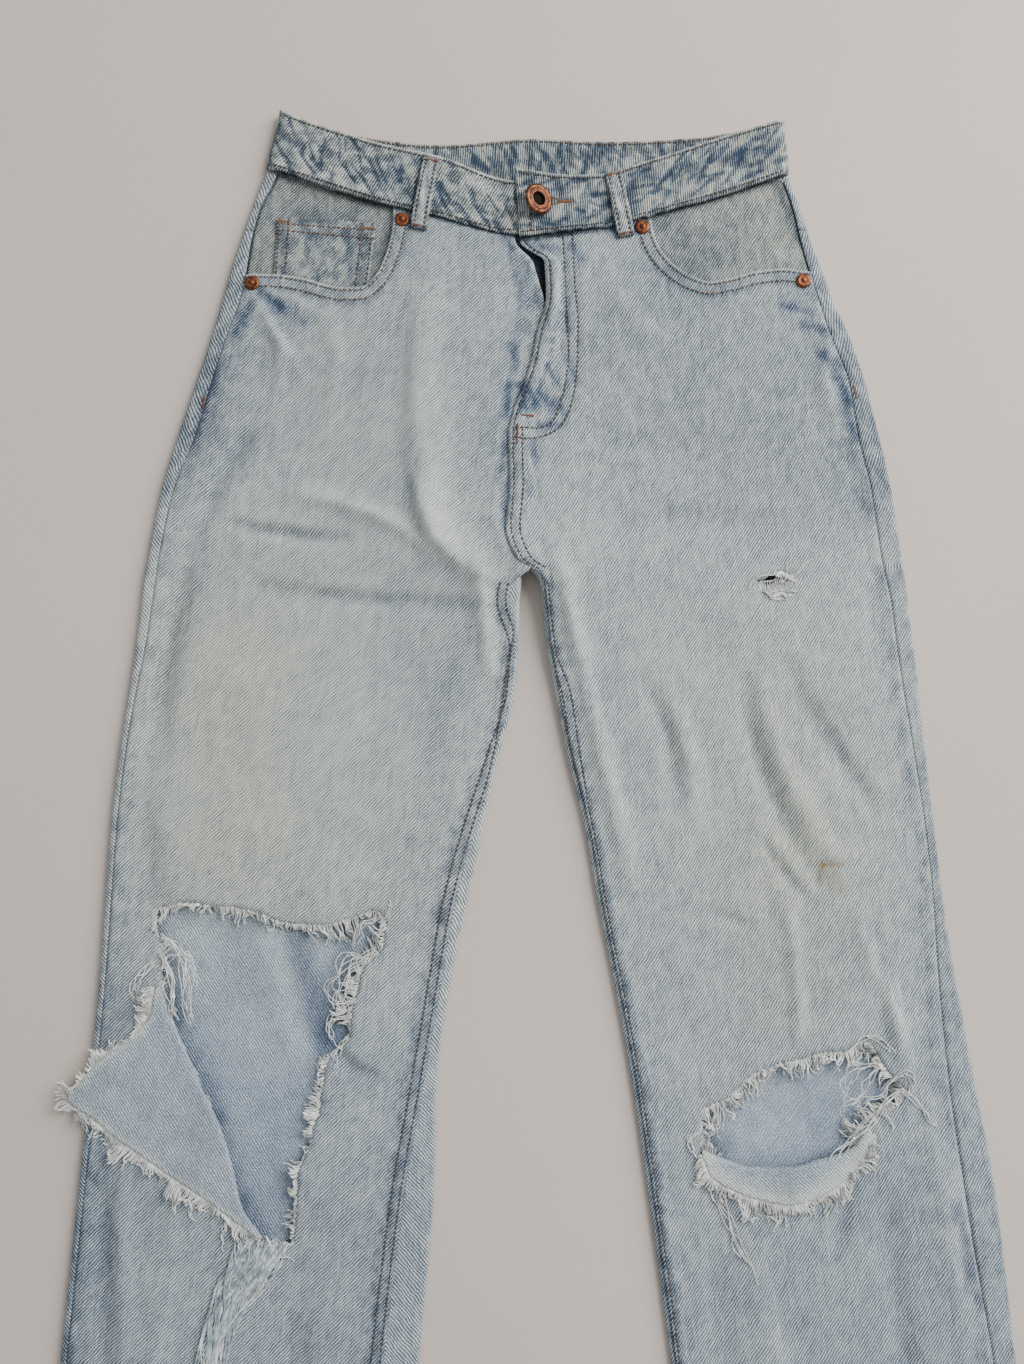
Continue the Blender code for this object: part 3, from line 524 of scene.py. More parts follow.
PATCHES = (
    (-160, 894, -146, 884, 3.2, 0.34), (-148, 884, -132, 873, 3.2, 0.26),
    (-166, 889, -170, 872, 2.7, 0.32), (-172, 878, -178, 862, 2.6, 0.26),
    (-154, 886, -146, 868, 2.4, 0.20), (-186, 846, -192, 828, 2.7, 0.28),
    (-194, 822, -199, 804, 2.7, 0.24), (172, 886, 190, 881, 2.9, 0.34), (186, 873, 199, 868, 2.9, 0.30),
    (196, 852, 206, 846, 2.9, 0.34), (207, 838, 213, 822, 2.9, 0.30), (212, 812, 219, 797, 2.7, 0.24),
    (6, 832, 8, 816, 2.9, 0.52), (12, 828, 15, 818, 2.6, 0.46), (19, 826, 26, 816, 2.6, 0.40),
    (23, 842, 29, 832, 2.2, 0.30), (28, 822, 34, 812, 2.2, 0.26), (33, 884, 36, 866, 1.8, 0.26),
    (36, 850, 40, 836, 1.9, 0.24), (18, 806, 30, 806, 2.4, 0.30), (13, 796, 15, 782, 2.1, 0.34),
    (10, 776, 11, 760, 1.9, 0.24), (38, 926, 44, 914, 2.7, 0.30), (10, 926, 28, 922, 2.4, 0.26),
    (9, 905, 11, 880, 1.8, 0.16), (0, 858, 1, 840, 2.4, 0.26), (-2, 832, -4, 812, 2.6, 0.40),
    (-4, 800, -6, 776, 1.9, 0.30), (-3, 768, -6, 740, 1.6, 0.20), (-62, 940, -84, 946, 2.7, 0.26),
    (62, 934, 84, 936, 2.7, 0.30), (-92, 900, -104, 897, 2.1, 0.20), (-3, 934, 4, 900, 3.2, 0.20),
    (6, 896, 3, 850, 2.6, 0.16), (100, 909, 116, 903, 2.1, 0.22),
)
STAIN = ((187, 523, 190, 532, 1.3, 0.8), (190, 532, 203, 533, 1.3, 0.55), (196, 530, 199, 518, 4.5, 0.30),
         (64, 781, 80, 780, 1.6, 0.30))
SIDE_DASHES = ((3.0, 6.0), 15, 0.16)  # half width and length, pitch, amount
ROLL_DASHES = ((2.6, 7.0), 13, 0.15)
INSEAM_DASHES = ((2.0, 4.0), 10, 0.17)


def wash_of(side, across, level, relief=0.0):
    """Dye, cream, mottling and stain at each point of a leg, from its seams, wear and creases; the crease
    relief makes ridges paler and hollows bluer, partly wear and partly painted highlight and shade.
    """
    sign = -1 if side == "right" else 1
    seam = section(side, "side_seam", level)
    front = section(side, "front", level)
    to_side = np.abs(across - seam)
    to_front = np.abs(across - front)
    high = smooth((level - 740) / 90)
    seed = 11 if sign < 0 else 12
    (size, pitch, amount) = SIDE_DASHES
    rows = seam_dashes(side, "side_seam", -sign * 5, (870, 20), pitch, size, amount, seed)
    (size, pitch, amount) = ROLL_DASHES
    rows += seam_dashes(side, "outer", -sign * 2, (900, 20), pitch, size, amount, seed + 10)
    inner = "front" if side == "right" else "inner"
    (size, pitch, amount) = INSEAM_DASHES
    rows += seam_dashes(side, inner, sign * 3.5, (690, 20), pitch, size, amount, seed + 20)
    rows += seam_dashes(side, inner, -sign * 3.0, (700, 20), pitch * 1.3, size, amount * 0.8, seed + 30)
    dye = read(LEG_DYE, 1, level) + blotches(BLUE, across, level) + blotches(rows, across, level)
    dye = dye + blotches(PATCHES, across, level)
    # by the crease relief: paler ridges and bluer hollows, partly wear and partly painted highlight and
    # shade
    dye = dye + (0.01 + 0.08 * high) * np.exp(-to_side / 9) + 0.04 * np.exp(-to_front / 6) - 0.038 * relief
    cream = 0.5 * blotches(CREAM, across, level)
    dye = dye - 0.03 * cream
    # below zero the cloth is bluer instead: the shins, and the dye left in folds
    cream = cream - 0.30 * smooth((520 - level) / 140) - 2.2 * blotches(PATCHES, across, level)
    mottle = 0.24 + 0.35 * np.exp(-to_side / 10) * (0.4 + 0.6 * high) + 0.30 * np.exp(-to_front / 8)
    mottle = mottle + 0.9 * blotches(PATCHES, across, level)
    mottle = mottle + 0.06 * high * (1 - smooth((level - 900) / 60))
    return np.stack((dye, cream, mottle, blotches(STAIN, across, level)), axis=-1)


TWILL_PITCH = 1.5  # mm from one diagonal rib to the next
TWILL_SLOPE = math.radians(50.5)
INDIGO = (
    (0.0, (0.742, 0.762, 0.675)),
    (0.2, (0.449, 0.503, 0.500)),
    (0.35, (0.312, 0.349, 0.367)),
    (0.5, (0.213, 0.248, 0.282)),
    (0.65, (0.138, 0.168, 0.204)),
    (0.8, (0.079, 0.107, 0.142)),
    (1.0, (0.026, 0.042, 0.063)),
)
YELLOWED = (1.0, 0.945, 0.82, 1)
BLUER = (0.91, 0.99, 1.15, 1)
BROWN = (0.224, 0.150, 0.075, 1)  # the stain


def denim(name, reverse=False):
    """Bleached twill. Its right side shows diagonal ribs of blue warp over white weft, its reverse mostly
    weft. Both read the mm along their own threads, and the amounts of dye (with painted shade and
    highlight added in places), cream (or blue, below zero), mottling and stain."""
    softness = {"Sheen_Weight": 0.08, "Sheen_Roughness": 0.5, "Specular_IOR_Level": 0.15}
    material, start, shader = finish(name, 0.92, **softness)
    grain = start.node("ShaderNodeUVMap", {"uv_map": "grain"})
    threads = grain.vector("SCALE", 1 / MM)
    wash = start.node("ShaderNodeAttribute", {"attribute_name": "wash"}, output="Color")
    stain = Wire(wash.tree, wash.socket.node.outputs["Alpha"])
    parts = start.node("ShaderNodeSeparateColor", None, {0: wash})
    dye, cream, mottle = (Wire(wash.tree, parts.socket.node.outputs[i]) for i in range(3))
    slope = math.pi - TWILL_SLOPE if reverse else TWILL_SLOPE
    across_rib = (-math.sin(slope), math.cos(slope), 0)
    along = threads.vector("DOT_PRODUCT", across_rib, "Value")
    wobble = threads.noise((0.11, 0.11, 1), 2.0)
    rib = ((along + wobble * 2.2) * (2 * math.pi / TWILL_PITCH)).sine()
    white = rib.math("POWER", (rib * 0.5 + 0.5).clamped(), 1.7)  # the thin pale line of weft between ribs
    turned_back = {"Vector": threads, "Rotation": (0, 0, -slope)}
    on_ribs = threads.node("ShaderNodeMapping", {"vector_type": "POINT"}, turned_back)
    streak = on_ribs.noise((0.10, 0.62, 1), 2.0, 0.6)  # a few ribs together, paler or darker
    warp = threads.noise((1.9, 0.055, 1), 2.0, 0.6)
    slub = threads.noise((0.7, 0.022, 1), 2.0, 0.55)
    weft = threads.noise((0.06, 1.7, 1), 2.0, 0.6)
    fleck = threads.noise((1.25, 1.0, 1), 2.0, 0.65)
    cloud = threads.noise((0.028, 0.021, 1), 4.0, 0.6)
    patch = threads.noise((0.16, 0.10, 1), 3.0, 0.62)
    if reverse:
        tone = 0.365 + (dye - 0.42) * 0.35 - cream.clamped() * 0.16 + (cloud - 0.5) * 0.36
        tone = tone + (patch - 0.5) * 0.26 + (streak - 0.5) * 0.24 + (0.42 - white) * 0.20
        tone = tone + (fleck - 0.5) * 1.4 + (weft - 0.5) * 0.14 + (warp - 0.5) * 0.24
        tints = [((0.6 - cream).clamped(), BLUER)]
    else:
        tone = dye + (cloud - 0.5) * 0.30 + (patch - 0.5) * mottle * 0.42 + (slub - 0.5) * 0.26
        tone = tone + (patch.ease(0.43, 0.58) - 0.5) * mottle * 0.22 + (streak - 0.5) * 0.48
        tone = tone + (0.42 - white) * 0.60 + (warp - 0.5) * 0.46
        tone = tone + (fleck - 0.5) * 0.95 + (weft - 0.5) * 0.10
        tints = [(cream.clamped(), YELLOWED), ((0 - cream).clamped(), BLUER)]
    colour = tone.node("ShaderNodeValToRGB", {"stops": INDIGO}, {0: tone.clamped()})
    for amount, tint in tints:
        mixed = {0: amount, 6: colour, 7: tint}
        colour = colour.node("ShaderNodeMix", {"data_type": "RGBA", "blend_type": "MULTIPLY"}, mixed, 2)
    plug((stain * (0.5 + fleck)).clamped().blend(colour, BROWN), shader, "Base Color")
    emboss(shader, rib * 0.6 + (warp - 0.5) * 1.4 + (weft - 0.5) * 0.8 + (fleck - 0.5) * 1.6, 1.0, 0.00028)
    return material


def cloth(name, points, faces, grain, wash, materials, thickness):
    """A shell of cloth: its outer face, with its thread lines in metres and its wash, then its wall."""
    mesh = bpy.data.meshes.new(name)
    mesh.from_pydata(points.tolist(), [], faces.tolist())
    corners = np.empty(len(mesh.loops), int)
    mesh.loops.foreach_get("vertex_index", corners)
    mesh.uv_layers.new(name="grain").data.foreach_set("uv", grain[corners].ravel())
    mesh.attributes.new("wash", "FLOAT_COLOR", "POINT").data.foreach_set("color", wash.ravel())
    for material in materials:
        mesh.materials.append(material)
    mesh.shade_smooth()
    piece = put(name, mesh)
    wall = piece.modifiers.new("wall", "SOLIDIFY")
    wall.thickness = thickness * MM
    wall.offset = -1.0
    wall.material_offset = 1
    wall.material_offset_rim = 1
    return piece


def round_the_cloth(across, height):
    """How far each point of a grid lies along its row, measured on the cloth from the middle column."""
    run = np.hypot(np.diff(across, axis=1), np.diff(height, axis=1))
    u = np.concatenate((np.zeros((len(across), 1)), np.cumsum(run, axis=1)), axis=1)
    middle = across.shape[1] // 2
    return u - u[:, middle : middle + 1] + across[:, middle : middle + 1]


def woven(name, across, level, height, grain, wash, materials, thickness):
    """Cloth on a grid of points, with its outer face up at the first cell."""
    rows, columns = across.shape
    cells = np.arange(rows * columns).reshape(rows, columns)
    a, b, c, d = cells[:-1, :-1], cells[1:, :-1], cells[1:, 1:], cells[:-1, 1:]
    faces = np.stack((a, b, c, d), axis=-1).reshape(-1, 4)
    points = metres(across, level, height)
    first = points[faces[0]]
    if np.cross(first[1] - first[0], first[2] - first[1])[2] < 0:
        faces = faces[:, ::-1]
    return cloth(name, points, faces, grain, wash, materials, thickness)


def turned(across, level, angle):
    """Thread coordinates, in metres, on cloth whose lengthwise threads lean by an angle."""
    u = across * math.cos(angle) + level * math.sin(angle)
    v = level * math.cos(angle) - across * math.sin(angle)
    return np.stack((u, v), axis=-1).reshape(-1, 2) * MM


def dress(piece, node):
    """Attach a piece to the root body and hide the imported part of its node, if it has one."""
    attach(piece, "root")
    if node:
        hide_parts(*([node] if isinstance(node, str) else node))
    return piece


sheets = {}


def sew_in(piece, node):
    """Dress a piece of cloth and keep it under its node's name."""
    sheets[node] = dress(piece, node)


right_side = denim("denim_right_side")
reverse_side = denim("denim_reverse", reverse=True)
BACK_ROWS = 4.0
BACK_COLUMNS = (5, 8, 34, 8, 7)


def back_cloth(name, side, tops):
    """A back or a yoke: tops gives each row's level by its share of the width."""
    s = np.concatenate([k + np.arange(n) / n for k, n in enumerate(BACK_COLUMNS)] + [np.array([5.0])])
    share = np.clip((s - 2) / 1.0, 0, 1)
    level = np.stack([np.broadcast_to(top_row(share), s.shape) for top_row in tops])
    grid = np.broadcast_to(s, level.shape)
    across, height = back_at(side, grid, level)
    wash = wash_of(side, across, level)
    # painted shade and highlight where a back lies open under the tears, added to its dye
    wash[..., 0] += blotches(PAINTED_SHADE_IN_TEARS, across, level) * ((grid > 2) & (grid < 3))
    grain = turned(round_the_cloth(across, height), level, GRAIN[side])
    return woven(name, across, level, height, grain, wash, (right_side, reverse_side), CLOTH)


def back_rows(side_top, centre_top):
    """Levels of a back's rows, from the yoke seam down to the hem."""
    rows = []
    for level in np.linspace(side_top - 0.3, 0, int(side_top / BACK_ROWS)):
        drop = (side_top - centre_top) * smooth((level - YOKE_EASE) / (side_top - YOKE_EASE))
        rows.append(lambda share, level=level, drop=drop: level - drop * share)
    return rows


for half in ("right", "left"):
    back = back_cloth(f"back_{half}_cloth", half, back_rows(*YOKE_SEAM))
    sew_in(back, f"back_{half}")

# ---- Yokes and back pockets ----------------------------------------------------------------------
# A shaped yoke joins each back to the waistband, and a five-sided patch pocket is sewn to each seat.
# They are the same bleached twill. All of them lie underneath, pressed flat on the table.

BAND_FRONT = 7.4
BAND_BACK = 1.5
BAND_OVERLAP = 9.9
BAND_RIGHT = (
    (27, 967, 26, 934.5, BAND_FRONT),
    (0, 968, 1, 932.5, BAND_FRONT),
    (-46, 984, -46, 944, BAND_FRONT),
    (-85, 993, -85, 953.5, BAND_FRONT),
    (-120, 1004, -121, 965, BAND_FRONT),
    (-145, 1013.5, -152, 975.5, BAND_FRONT),
    (-149.4, 1016, -157.4, 977, BAND_FRONT - 0.9),
)
BAND_AROUND = (
    (-151, 1017, -159, 977.5, 0.5 * (BAND_FRONT + BAND_BACK)),
    (-149.4, 1016.5, -157.4, 977, BAND_BACK + 0.9),
    (-145, 1014, -152, 975, BAND_BACK),
    (-100, 1001, -101, 961, BAND_BACK),
    (-46, 995, -46, 955, BAND_BACK),
    (14, 999, 14, 959, BAND_BACK),
    (60, 997, 60, 957, BAND_BACK),
    (110, 999, 110, 959, BAND_BACK),
    (140, 1003, 141, 964, BAND_BACK),
    (171, 1009, 173, 972, BAND_BACK),
    (175.4, 1010, 177.4, 973.5, BAND_BACK + 0.9),
    (177, 1010.5, 179, 974, 0.5 * (BAND_FRONT + BAND_BACK)),
)
BAND_LEFT = (
    (175.4, 1010, 177.4, 973.5, BAND_FRONT - 0.9),
    (171, 1008.5, 173, 971.5, BAND_FRONT),
    (134, 997, 134, 958, BAND_FRONT),
    (108, 988, 108, 950, BAND_FRONT),
    (80, 979, 81, 942.5, BAND_FRONT),
    (58, 972, 59, 937, BAND_FRONT + 0.4),
    (36, 970.5, 36, 933.5, BAND_OVERLAP),
    (2, 975, 4, 930, BAND_OVERLAP),
)
WAIST_SEAM = {"right": BAND_RIGHT[1:], "left": BAND_LEFT, "back": BAND_AROUND}
YOKE_ROWS = 16
POCKET_CLOTH = 1.0
POCKET_TAPER = 9.0  # each side of a back pocket leans in by this much
POCKET_POINT = 25.0  # height of its pointed foot
POCKET_CORNER = 3.0
NET = 2.9  # mm between the points of a front
SLIVER = 0.004  # square mm: no triangle is smaller


def seam_level(part, across):
    """Level of the waistband's lower edge."""
    return read([(row[2], row[3]) for row in WAIST_SEAM[part]], 1, across)


def yoke_rows(side):
    """Levels of a yoke's rows, from the waist down to the yoke seam."""
    outer = section(side, "outer", WAIST)
    seam = section(side, "side_seam", WAIST)
    side_waist = min(seam_level(side, seam), seam_level("back", seam))
    rows = []
    for t in np.linspace(0, 1, YOKE_ROWS):

        def row(share, t=t):
            waist = np.minimum(side_waist, seam_level("back", mix(outer, CENTRE_BACK, share))) - 0.3
            return mix(waist, mix(*YOKE_SEAM, share), t)

        rows.append(row)
    return rows


def run_of(points):
    """How far each point lies along its line."""
    return np.concatenate(([0], np.cumsum(np.linalg.norm(np.diff(points, axis=0), axis=1))))


def curve_through(points, step):
    """Points a step apart on a smooth line through a few."""
    points = np.array(points, float)
    run = run_of(points)
    at = np.linspace(0, run[-1], max(2, round(run[-1] / step)) + 1)
    table_of_points = np.column_stack((run, points))
    return np.stack([read(table_of_points, 1 + k, at) for k in range(points.shape[1])], axis=1)


def straight_through(points, step):
    """Points about a step apart on the straight runs between a few."""
    points = np.array(points, float)
    run = run_of(points)
    at = np.linspace(0, run[-1], max(2, round(run[-1] / step)) + 1)
    at = np.unique(np.concatenate((at, run)).round(6))
    at = at[np.concatenate(([True], np.diff(at) > 0.25 * step))]
    return np.stack([np.interp(at, run, points[:, k]) for k in range(points.shape[1])], axis=1)


def inside(outline, across, level):
    """Which points an outline holds."""
    odd = np.zeros(np.shape(across), bool)
    for (ax, ay), (bx, by) in zip(outline, np.roll(outline, -1, axis=0)):
        if ay != by:
            crosses = (ay > level) != (by > level)
            odd ^= crosses & (across < ax + (bx - ax) * (level - ay) / (by - ay))
    return odd


def sideways(line):
    """The unit step to the left at each point of a line."""
    way = np.gradient(np.asarray(line, float)[:, :2], axis=0)
    way /= np.maximum(np.linalg.norm(way, axis=1), 1e-9)[:, None]
    return np.stack((-way[:, 1], way[:, 0]), axis=1)


def held_by(rings, points):
    """Which points lie in the first ring and in none of the others."""
    held = inside(rings[0], *points.T)
    for hole in rings[1:]:
        held &= ~inside(hole, *points.T)
    return held


def nearest(points):
    """A finder of the nearest of some plan points."""
    tree = KDTree(len(points))
    for i, (x, y) in enumerate(points):
        tree.insert((x, y, 0), i)
    tree.balance()
    return lambda x, y: tree.find((x, y, 0))


def doubled_area(flat, faces):
    """Twice the area of each triangle, positive when it runs anticlockwise."""
    (ax, ay), (bx, by), (cx, cy) = flat[faces].transpose(1, 2, 0)
    return (bx - ax) * (cy - ay) - (by - ay) * (cx - ax)


def net(outline, holes=(), pitch=NET, rows=()):
    """Even triangles inside an outline and outside its holes, closer together along the sewn rows."""
    rings = [np.asarray(ring) for ring in (outline, *holes)]
    edges = []
    start = 0
    for ring in rings:
        ends = start + np.arange(len(ring))
        edges += list(zip(ends.tolist(), np.roll(ends, -1).tolist()))
        start += len(ring)
    edge_points = np.vstack(rings)
    sewn = [line + sideways(line) * shift for line in rows for shift in (-1.2, 0, 1.2)]
    low, high = rings[0].min(axis=0), rings[0].max(axis=0)
    count = int((high[1] - low[1]) / (pitch * 0.866)) + 1
    lattice = []
    for k in range(count):
        x = np.arange(low[0] + (k % 2) * 0.5 * pitch, high[0], pitch)
        lattice.append(np.column_stack((x, np.full(len(x), low[1] + k * pitch * 0.866))))
    kept = edge_points
    for group, apart in ((sewn, 0.7), (lattice, 0.6 * pitch)):
        if not group:
            continue
        points = np.vstack(group)
        points = points[held_by(rings, points)]
        find = nearest(kept)
        kept = np.vstack((kept, [p for p in points if find(p[0], p[1])[2] > apart]))
    found = delaunay_2d_cdt([Vector(p) for p in kept.tolist()], edges, [], 0, 1e-4)
    flat = np.array([(p.x, p.y) for p in found[0]])
    faces = np.array(found[2])
    held = held_by(rings, flat[faces].mean(axis=1))
    held &= np.abs(doubled_area(flat, faces)) > SLIVER
    used, faces = np.unique(faces[held], return_inverse=True)
    return flat[used], faces.reshape(-1, 3)


def panel(name, side, shape, height, wash, materials, thickness=CLOTH, down=False):
    """Cloth on a net of triangles; its outer face looks up unless it lies face down."""
    flat, faces = shape
    grain = turned(*flat.T, GRAIN[side])
    facing_up = doubled_area(flat, faces) > 0
    faces = np.where((facing_up == down)[:, None], faces[:, ::-1], faces)
    return cloth(name, metres(*flat.T, height), faces, grain, wash, materials, thickness)


for half, (middle, width, length, top_level) in BACK_POCKET.items():
    yoke = back_cloth(f"yoke_{half}_cloth", half, yoke_rows(half))
    sew_in(yoke, f"yoke_{half}")
    half_top = 0.5 * width
    half_low = half_top - POCKET_TAPER
    corners = [
        (middle - half_top, top_level),
        (middle - half_low, top_level - length + POCKET_POINT),
        (middle, top_level - length),
        (middle + half_low, top_level - length + POCKET_POINT),
        (middle + half_top, top_level),
        (middle - half_top, top_level),
    ]
    shape = net(straight_through(corners, POCKET_CORNER)[:-1], pitch=4.0)
    flat = shape[0]
    pocket = panel(
        f"back_pocket_{half}_cloth", half, shape, np.zeros(len(flat)), wash_of(half, *flat.T),
        (right_side, reverse_side), POCKET_CLOTH, down=True,
    )
    sew_in(pocket, f"back_pocket_{half}")

# ---- Pocket facings and the coin pocket ----------------------------------------------------------
# Inside each curved front pocket shows a facing of the same denim, greyer where the bleach ran less.
# The right one carries a small coin pocket with a turned top hem, sewn down with two rows.

FACING_DEPTH = {"right": 2.8, "left": 1.5}
FACING_BOTTOM = 864.0
FACING_LOWEST = 2.5
FACING_INNER = 52.0
FACING_CELLS = (56, 60)
FACING_TONE = (0.545, 0.70, 0.45)  # dye, cream and mottling
COIN_TONE = (0.545, 0.60, 0.85)
COIN_HEM = 9.5  # the turned hem, thicker by its second layer
COIN_HEM_RISE = 0.45
COIN_DEPTH = 1.5
COIN = ((-151, 945), (-153, 908), (-149, 872), (-92, 868), (-92, 899), (-87.5, 940), (-120, 944))
FACING_CREAM = {
    "right": (
        (-160, 930, -163, 905, 9, 0.9), (-140, 962, -115, 957, 9, 0.6), (-100, 955, -78, 945, 8, 0.3),
    ),
    "left": ((165, 955, 172, 925, 16, 0.9), (110, 940, 140, 950, 12, 0.5), (150, 960, 165, 965, 10, 0.6)),
}
FACING_BLUE = {
    "right": (
        (-135, 951, -105, 942, 7, 0.14), (-155, 897, -158, 905, 5, 0.2), (-88, 905, -80, 930, 6, 0.12),
    ),
    "left": ((100, 940, 120, 916, 13, 0.12), (170, 970, 185, 930, 3, 0.3), (95, 958, 110, 961, 4, 0.1)),
}
COIN_BLUE = (
    (-149, 935, -146, 928, 4, 0.25), (-132, 936, -124, 926, 4, 0.30), (-108, 934, -98, 930, 4, 0.28),
    (-122, 918, -124, 895, 3, 0.18), (-105, 925, -103, 900, 3, 0.22), (-95, 930, -97, 895, 3, 0.28),
    (-147, 920, -148, 900, 3, 0.22), (-137, 942, -112, 943, 2.2, 0.25),
)


for half in ("right", "left"):
    toward = 1 if half == "right" else -1
    level_cells, width_cells = FACING_CELLS
    share = np.linspace(0, 1, width_cells)[None, :]
    drop = np.linspace(0, 1, level_cells)[:, None]
    inner = CENTRE_BACK - toward * FACING_INNER
    waist = seam_level(half, mix(section(half, "side_seam", WAIST), inner, share)) + 2.0
    level = mix(waist, FACING_BOTTOM, drop)
    across = mix(section(half, "side_seam", level) + toward * 0.4, inner, share)
    height = np.maximum(front_height(half, across, level) - FACING_DEPTH[half], FACING_LOWEST)
    height = height - 1.4 * smooth(1 - (waist - level) / 5.0)
    wash = wash_of(half, across, level)
    pale = 0.35 * blotches(FACING_CREAM[half], across, level)
    wash[..., :3] = FACING_TONE
    wash[..., 0] = wash[..., 0] + blotches(FACING_BLUE[half], across, level) - 0.16 * pale
    wash[..., 1] += pale
    grain = turned(across, level, GRAIN[half])
    facing = woven(
        f"facing_{half}_cloth", across, level, height, grain, wash,
        (right_side, reverse_side), POCKET_CLOTH,
    )
    sew_in(facing, f"facing_{half}")

coin_outline = straight_through(COIN + COIN[:1], 1.6)[:-1]
coin_shape = net(coin_outline, pitch=1.8)
flat = coin_shape[0]
coin_hem = 944 - 0.085 * (flat[:, 0] + 151) - flat[:, 1]  # below the top edge
height = front_height("right", *flat.T) - COIN_DEPTH
height = height + COIN_HEM_RISE * smooth((COIN_HEM - coin_hem) / 1.5)
wash = wash_of("right", *flat.T)
wash[:, :3] = COIN_TONE
wash[:, 0] += 0.8 * blotches(COIN_BLUE, *flat.T)
wash[:, 1] -= 2.0 * blotches(COIN_BLUE, *flat.T)
coin = panel(
    "coin_pocket_cloth", "right", coin_shape, height, wash, (right_side, reverse_side), POCKET_CLOTH
)
sew_in(coin, "coin_pocket")

# ---- Fly shield and zip --------------------------------------------------------------------------
# Under the open top of the fly: a shield of denim, and the navy tape and dark teeth of the zip.
# The tape is sewn to the shield and to the left front; the slider is out of sight below the button.

ZIP = (((1, 925), (3, 890), (0, 850), (-8, 815)), ((24, 925), (27, 890), (24, 850), (14, 815)))
SHIELD = (((-9, 927), (-8, 890), (-11, 850), (-16, 808)), ((38, 926), (38, 890), (33, 850), (18, 808)))
ZIP_DEPTH = 2.4
SHIELD_DEPTH = 4.2
SHIELD_BLUE = 0.30  # it kept this much more of its dye
TAPE = 1.0
TEETH_FROM = ((17.5, 924), (20, 890), (15.5, 850), (8, 820))
TOOTH = (2.6, 0.9, 0.8)  # long, wide, thick
TOOTH_PITCH = 1.7


def tape_weave():
    """Tightly woven navy cotton, with fine ribs across the tape."""
    material, where, shader = surface("navy_tape", 0.85, Specular_IOR_Level=0.2)
    ribs = where.noise((250, 1900, 250), 1.0)
    paint(shader, ribs.ease(0.3, 0.7), (0.008, 0.014, 0.026), (0.022, 0.036, 0.060))
    emboss(shader, ribs, 0.4, 0.0002)
    return material


def dark_metal():
    """Blackened brass with worn, brighter patches."""
    material, where, shader = surface("dark_brass", 0.4, Metallic=1.0)
    worn = where.noise((600, 600, 600), 2.0)
    paint(shader, worn.ease(0.4, 0.8), (0.03, 0.022, 0.018), (0.16, 0.10, 0.06))
    return material


def ruled(edges, rows, columns):
    """A grid of plan points between two edges."""
    first, second = (curve_through(edge, 1.0) for edge in edges)
    t = np.linspace(0, 1, rows)
    pick = [edge[np.round(t * (len(edge) - 1)).astype(int)] for edge in (first, second)]
    share = np.linspace(0, 1, columns)[None, :]
    return tuple(mix(pick[0][:, k, None], pick[1][:, k, None], share) for k in (0, 1))


across, level = ruled(SHIELD, 50, 26)
height = front_height("right", across, level) - SHIELD_DEPTH
wash = wash_of("left", across, level)
wash[..., 0] += SHIELD_BLUE
wash[..., 1] = 0
grain = turned(across, level, 0)
shield = woven(
    "fly_shield_cloth", across, level, height, grain, wash, (right_side, reverse_side), POCKET_CLOTH
)
sew_in(shield, "fly_shield")

across, level = ruled(ZIP, 50, 14)
height = front_height("right", across, level) - ZIP_DEPTH
navy = tape_weave()
blank = np.zeros((across.size, 4))
tape = woven("zip_tape", across, level, height, turned(across, level, 0), blank, (navy, navy), TAPE)
sew_in(tape, "zip")


def node_group(name, **inputs):
    """A Geometry Nodes tree with geometry in and out, and named inputs of each kind."""
    tree = bpy.data.node_groups.new(name, "GeometryNodeTree")
    tree.interface.new_socket("Geometry", in_out="OUTPUT", socket_type="NodeSocketGeometry")
    for kind, keys in {"Geometry": ("Geometry",), "Material": ("Material",), **inputs}.items():
        for key in keys:
            tree.interface.new_socket(key, in_out="INPUT", socket_type="NodeSocket" + kind)
    into = tree.nodes.new("NodeGroupInput")
    return tree, {socket.name: Wire(tree, socket) for socket in into.outputs if socket.name}


def close_group(tree, wire, material):
    """The end of every tree: real meshes, one material, and the way out."""
    real = wire.node("GeometryNodeRealizeInstances", None, {"Geometry": wire})
    smoothed = real.node("GeometryNodeSetShadeSmooth", None, {"Geometry": real})
    painted = smoothed.node("GeometryNodeSetMaterial", None, {"Geometry": smoothed, "Material": material})
    out = tree.nodes.new("NodeGroupOutput")
    tree.links.new(painted.socket, out.inputs[0])
    return tree


def set_along(start, spacing, part, lean, size, pivot="AUTO", **choice):
    """A copy of a part at every spacing along the guide, turned to follow it and then leaned."""
    line = start.node("GeometryNodeMeshToCurve", None, {"Mesh": start})
    even = line.node("GeometryNodeResampleCurve", {"mode": "LENGTH"}, {"Curve": line, "Length": spacing})
    along = start.node("GeometryNodeInputTangent")
    follow = {"axis": "X", "pivot_axis": pivot}
    turn = along.node("FunctionNodeAlignRotationToVector", follow, {"Vector": along})
    by = lean.node("FunctionNodeEulerToRotation", None, {0: lean})
    turned_by = turn.node("FunctionNodeRotateRotation", {"rotation_space": "LOCAL"}, {0: turn, 1: by})
    values = {"Points": even, "Instance": part, "Rotation": turned_by, "Scale": size, **choice}
    return even.node("GeometryNodeInstanceOnPoints", None, values)


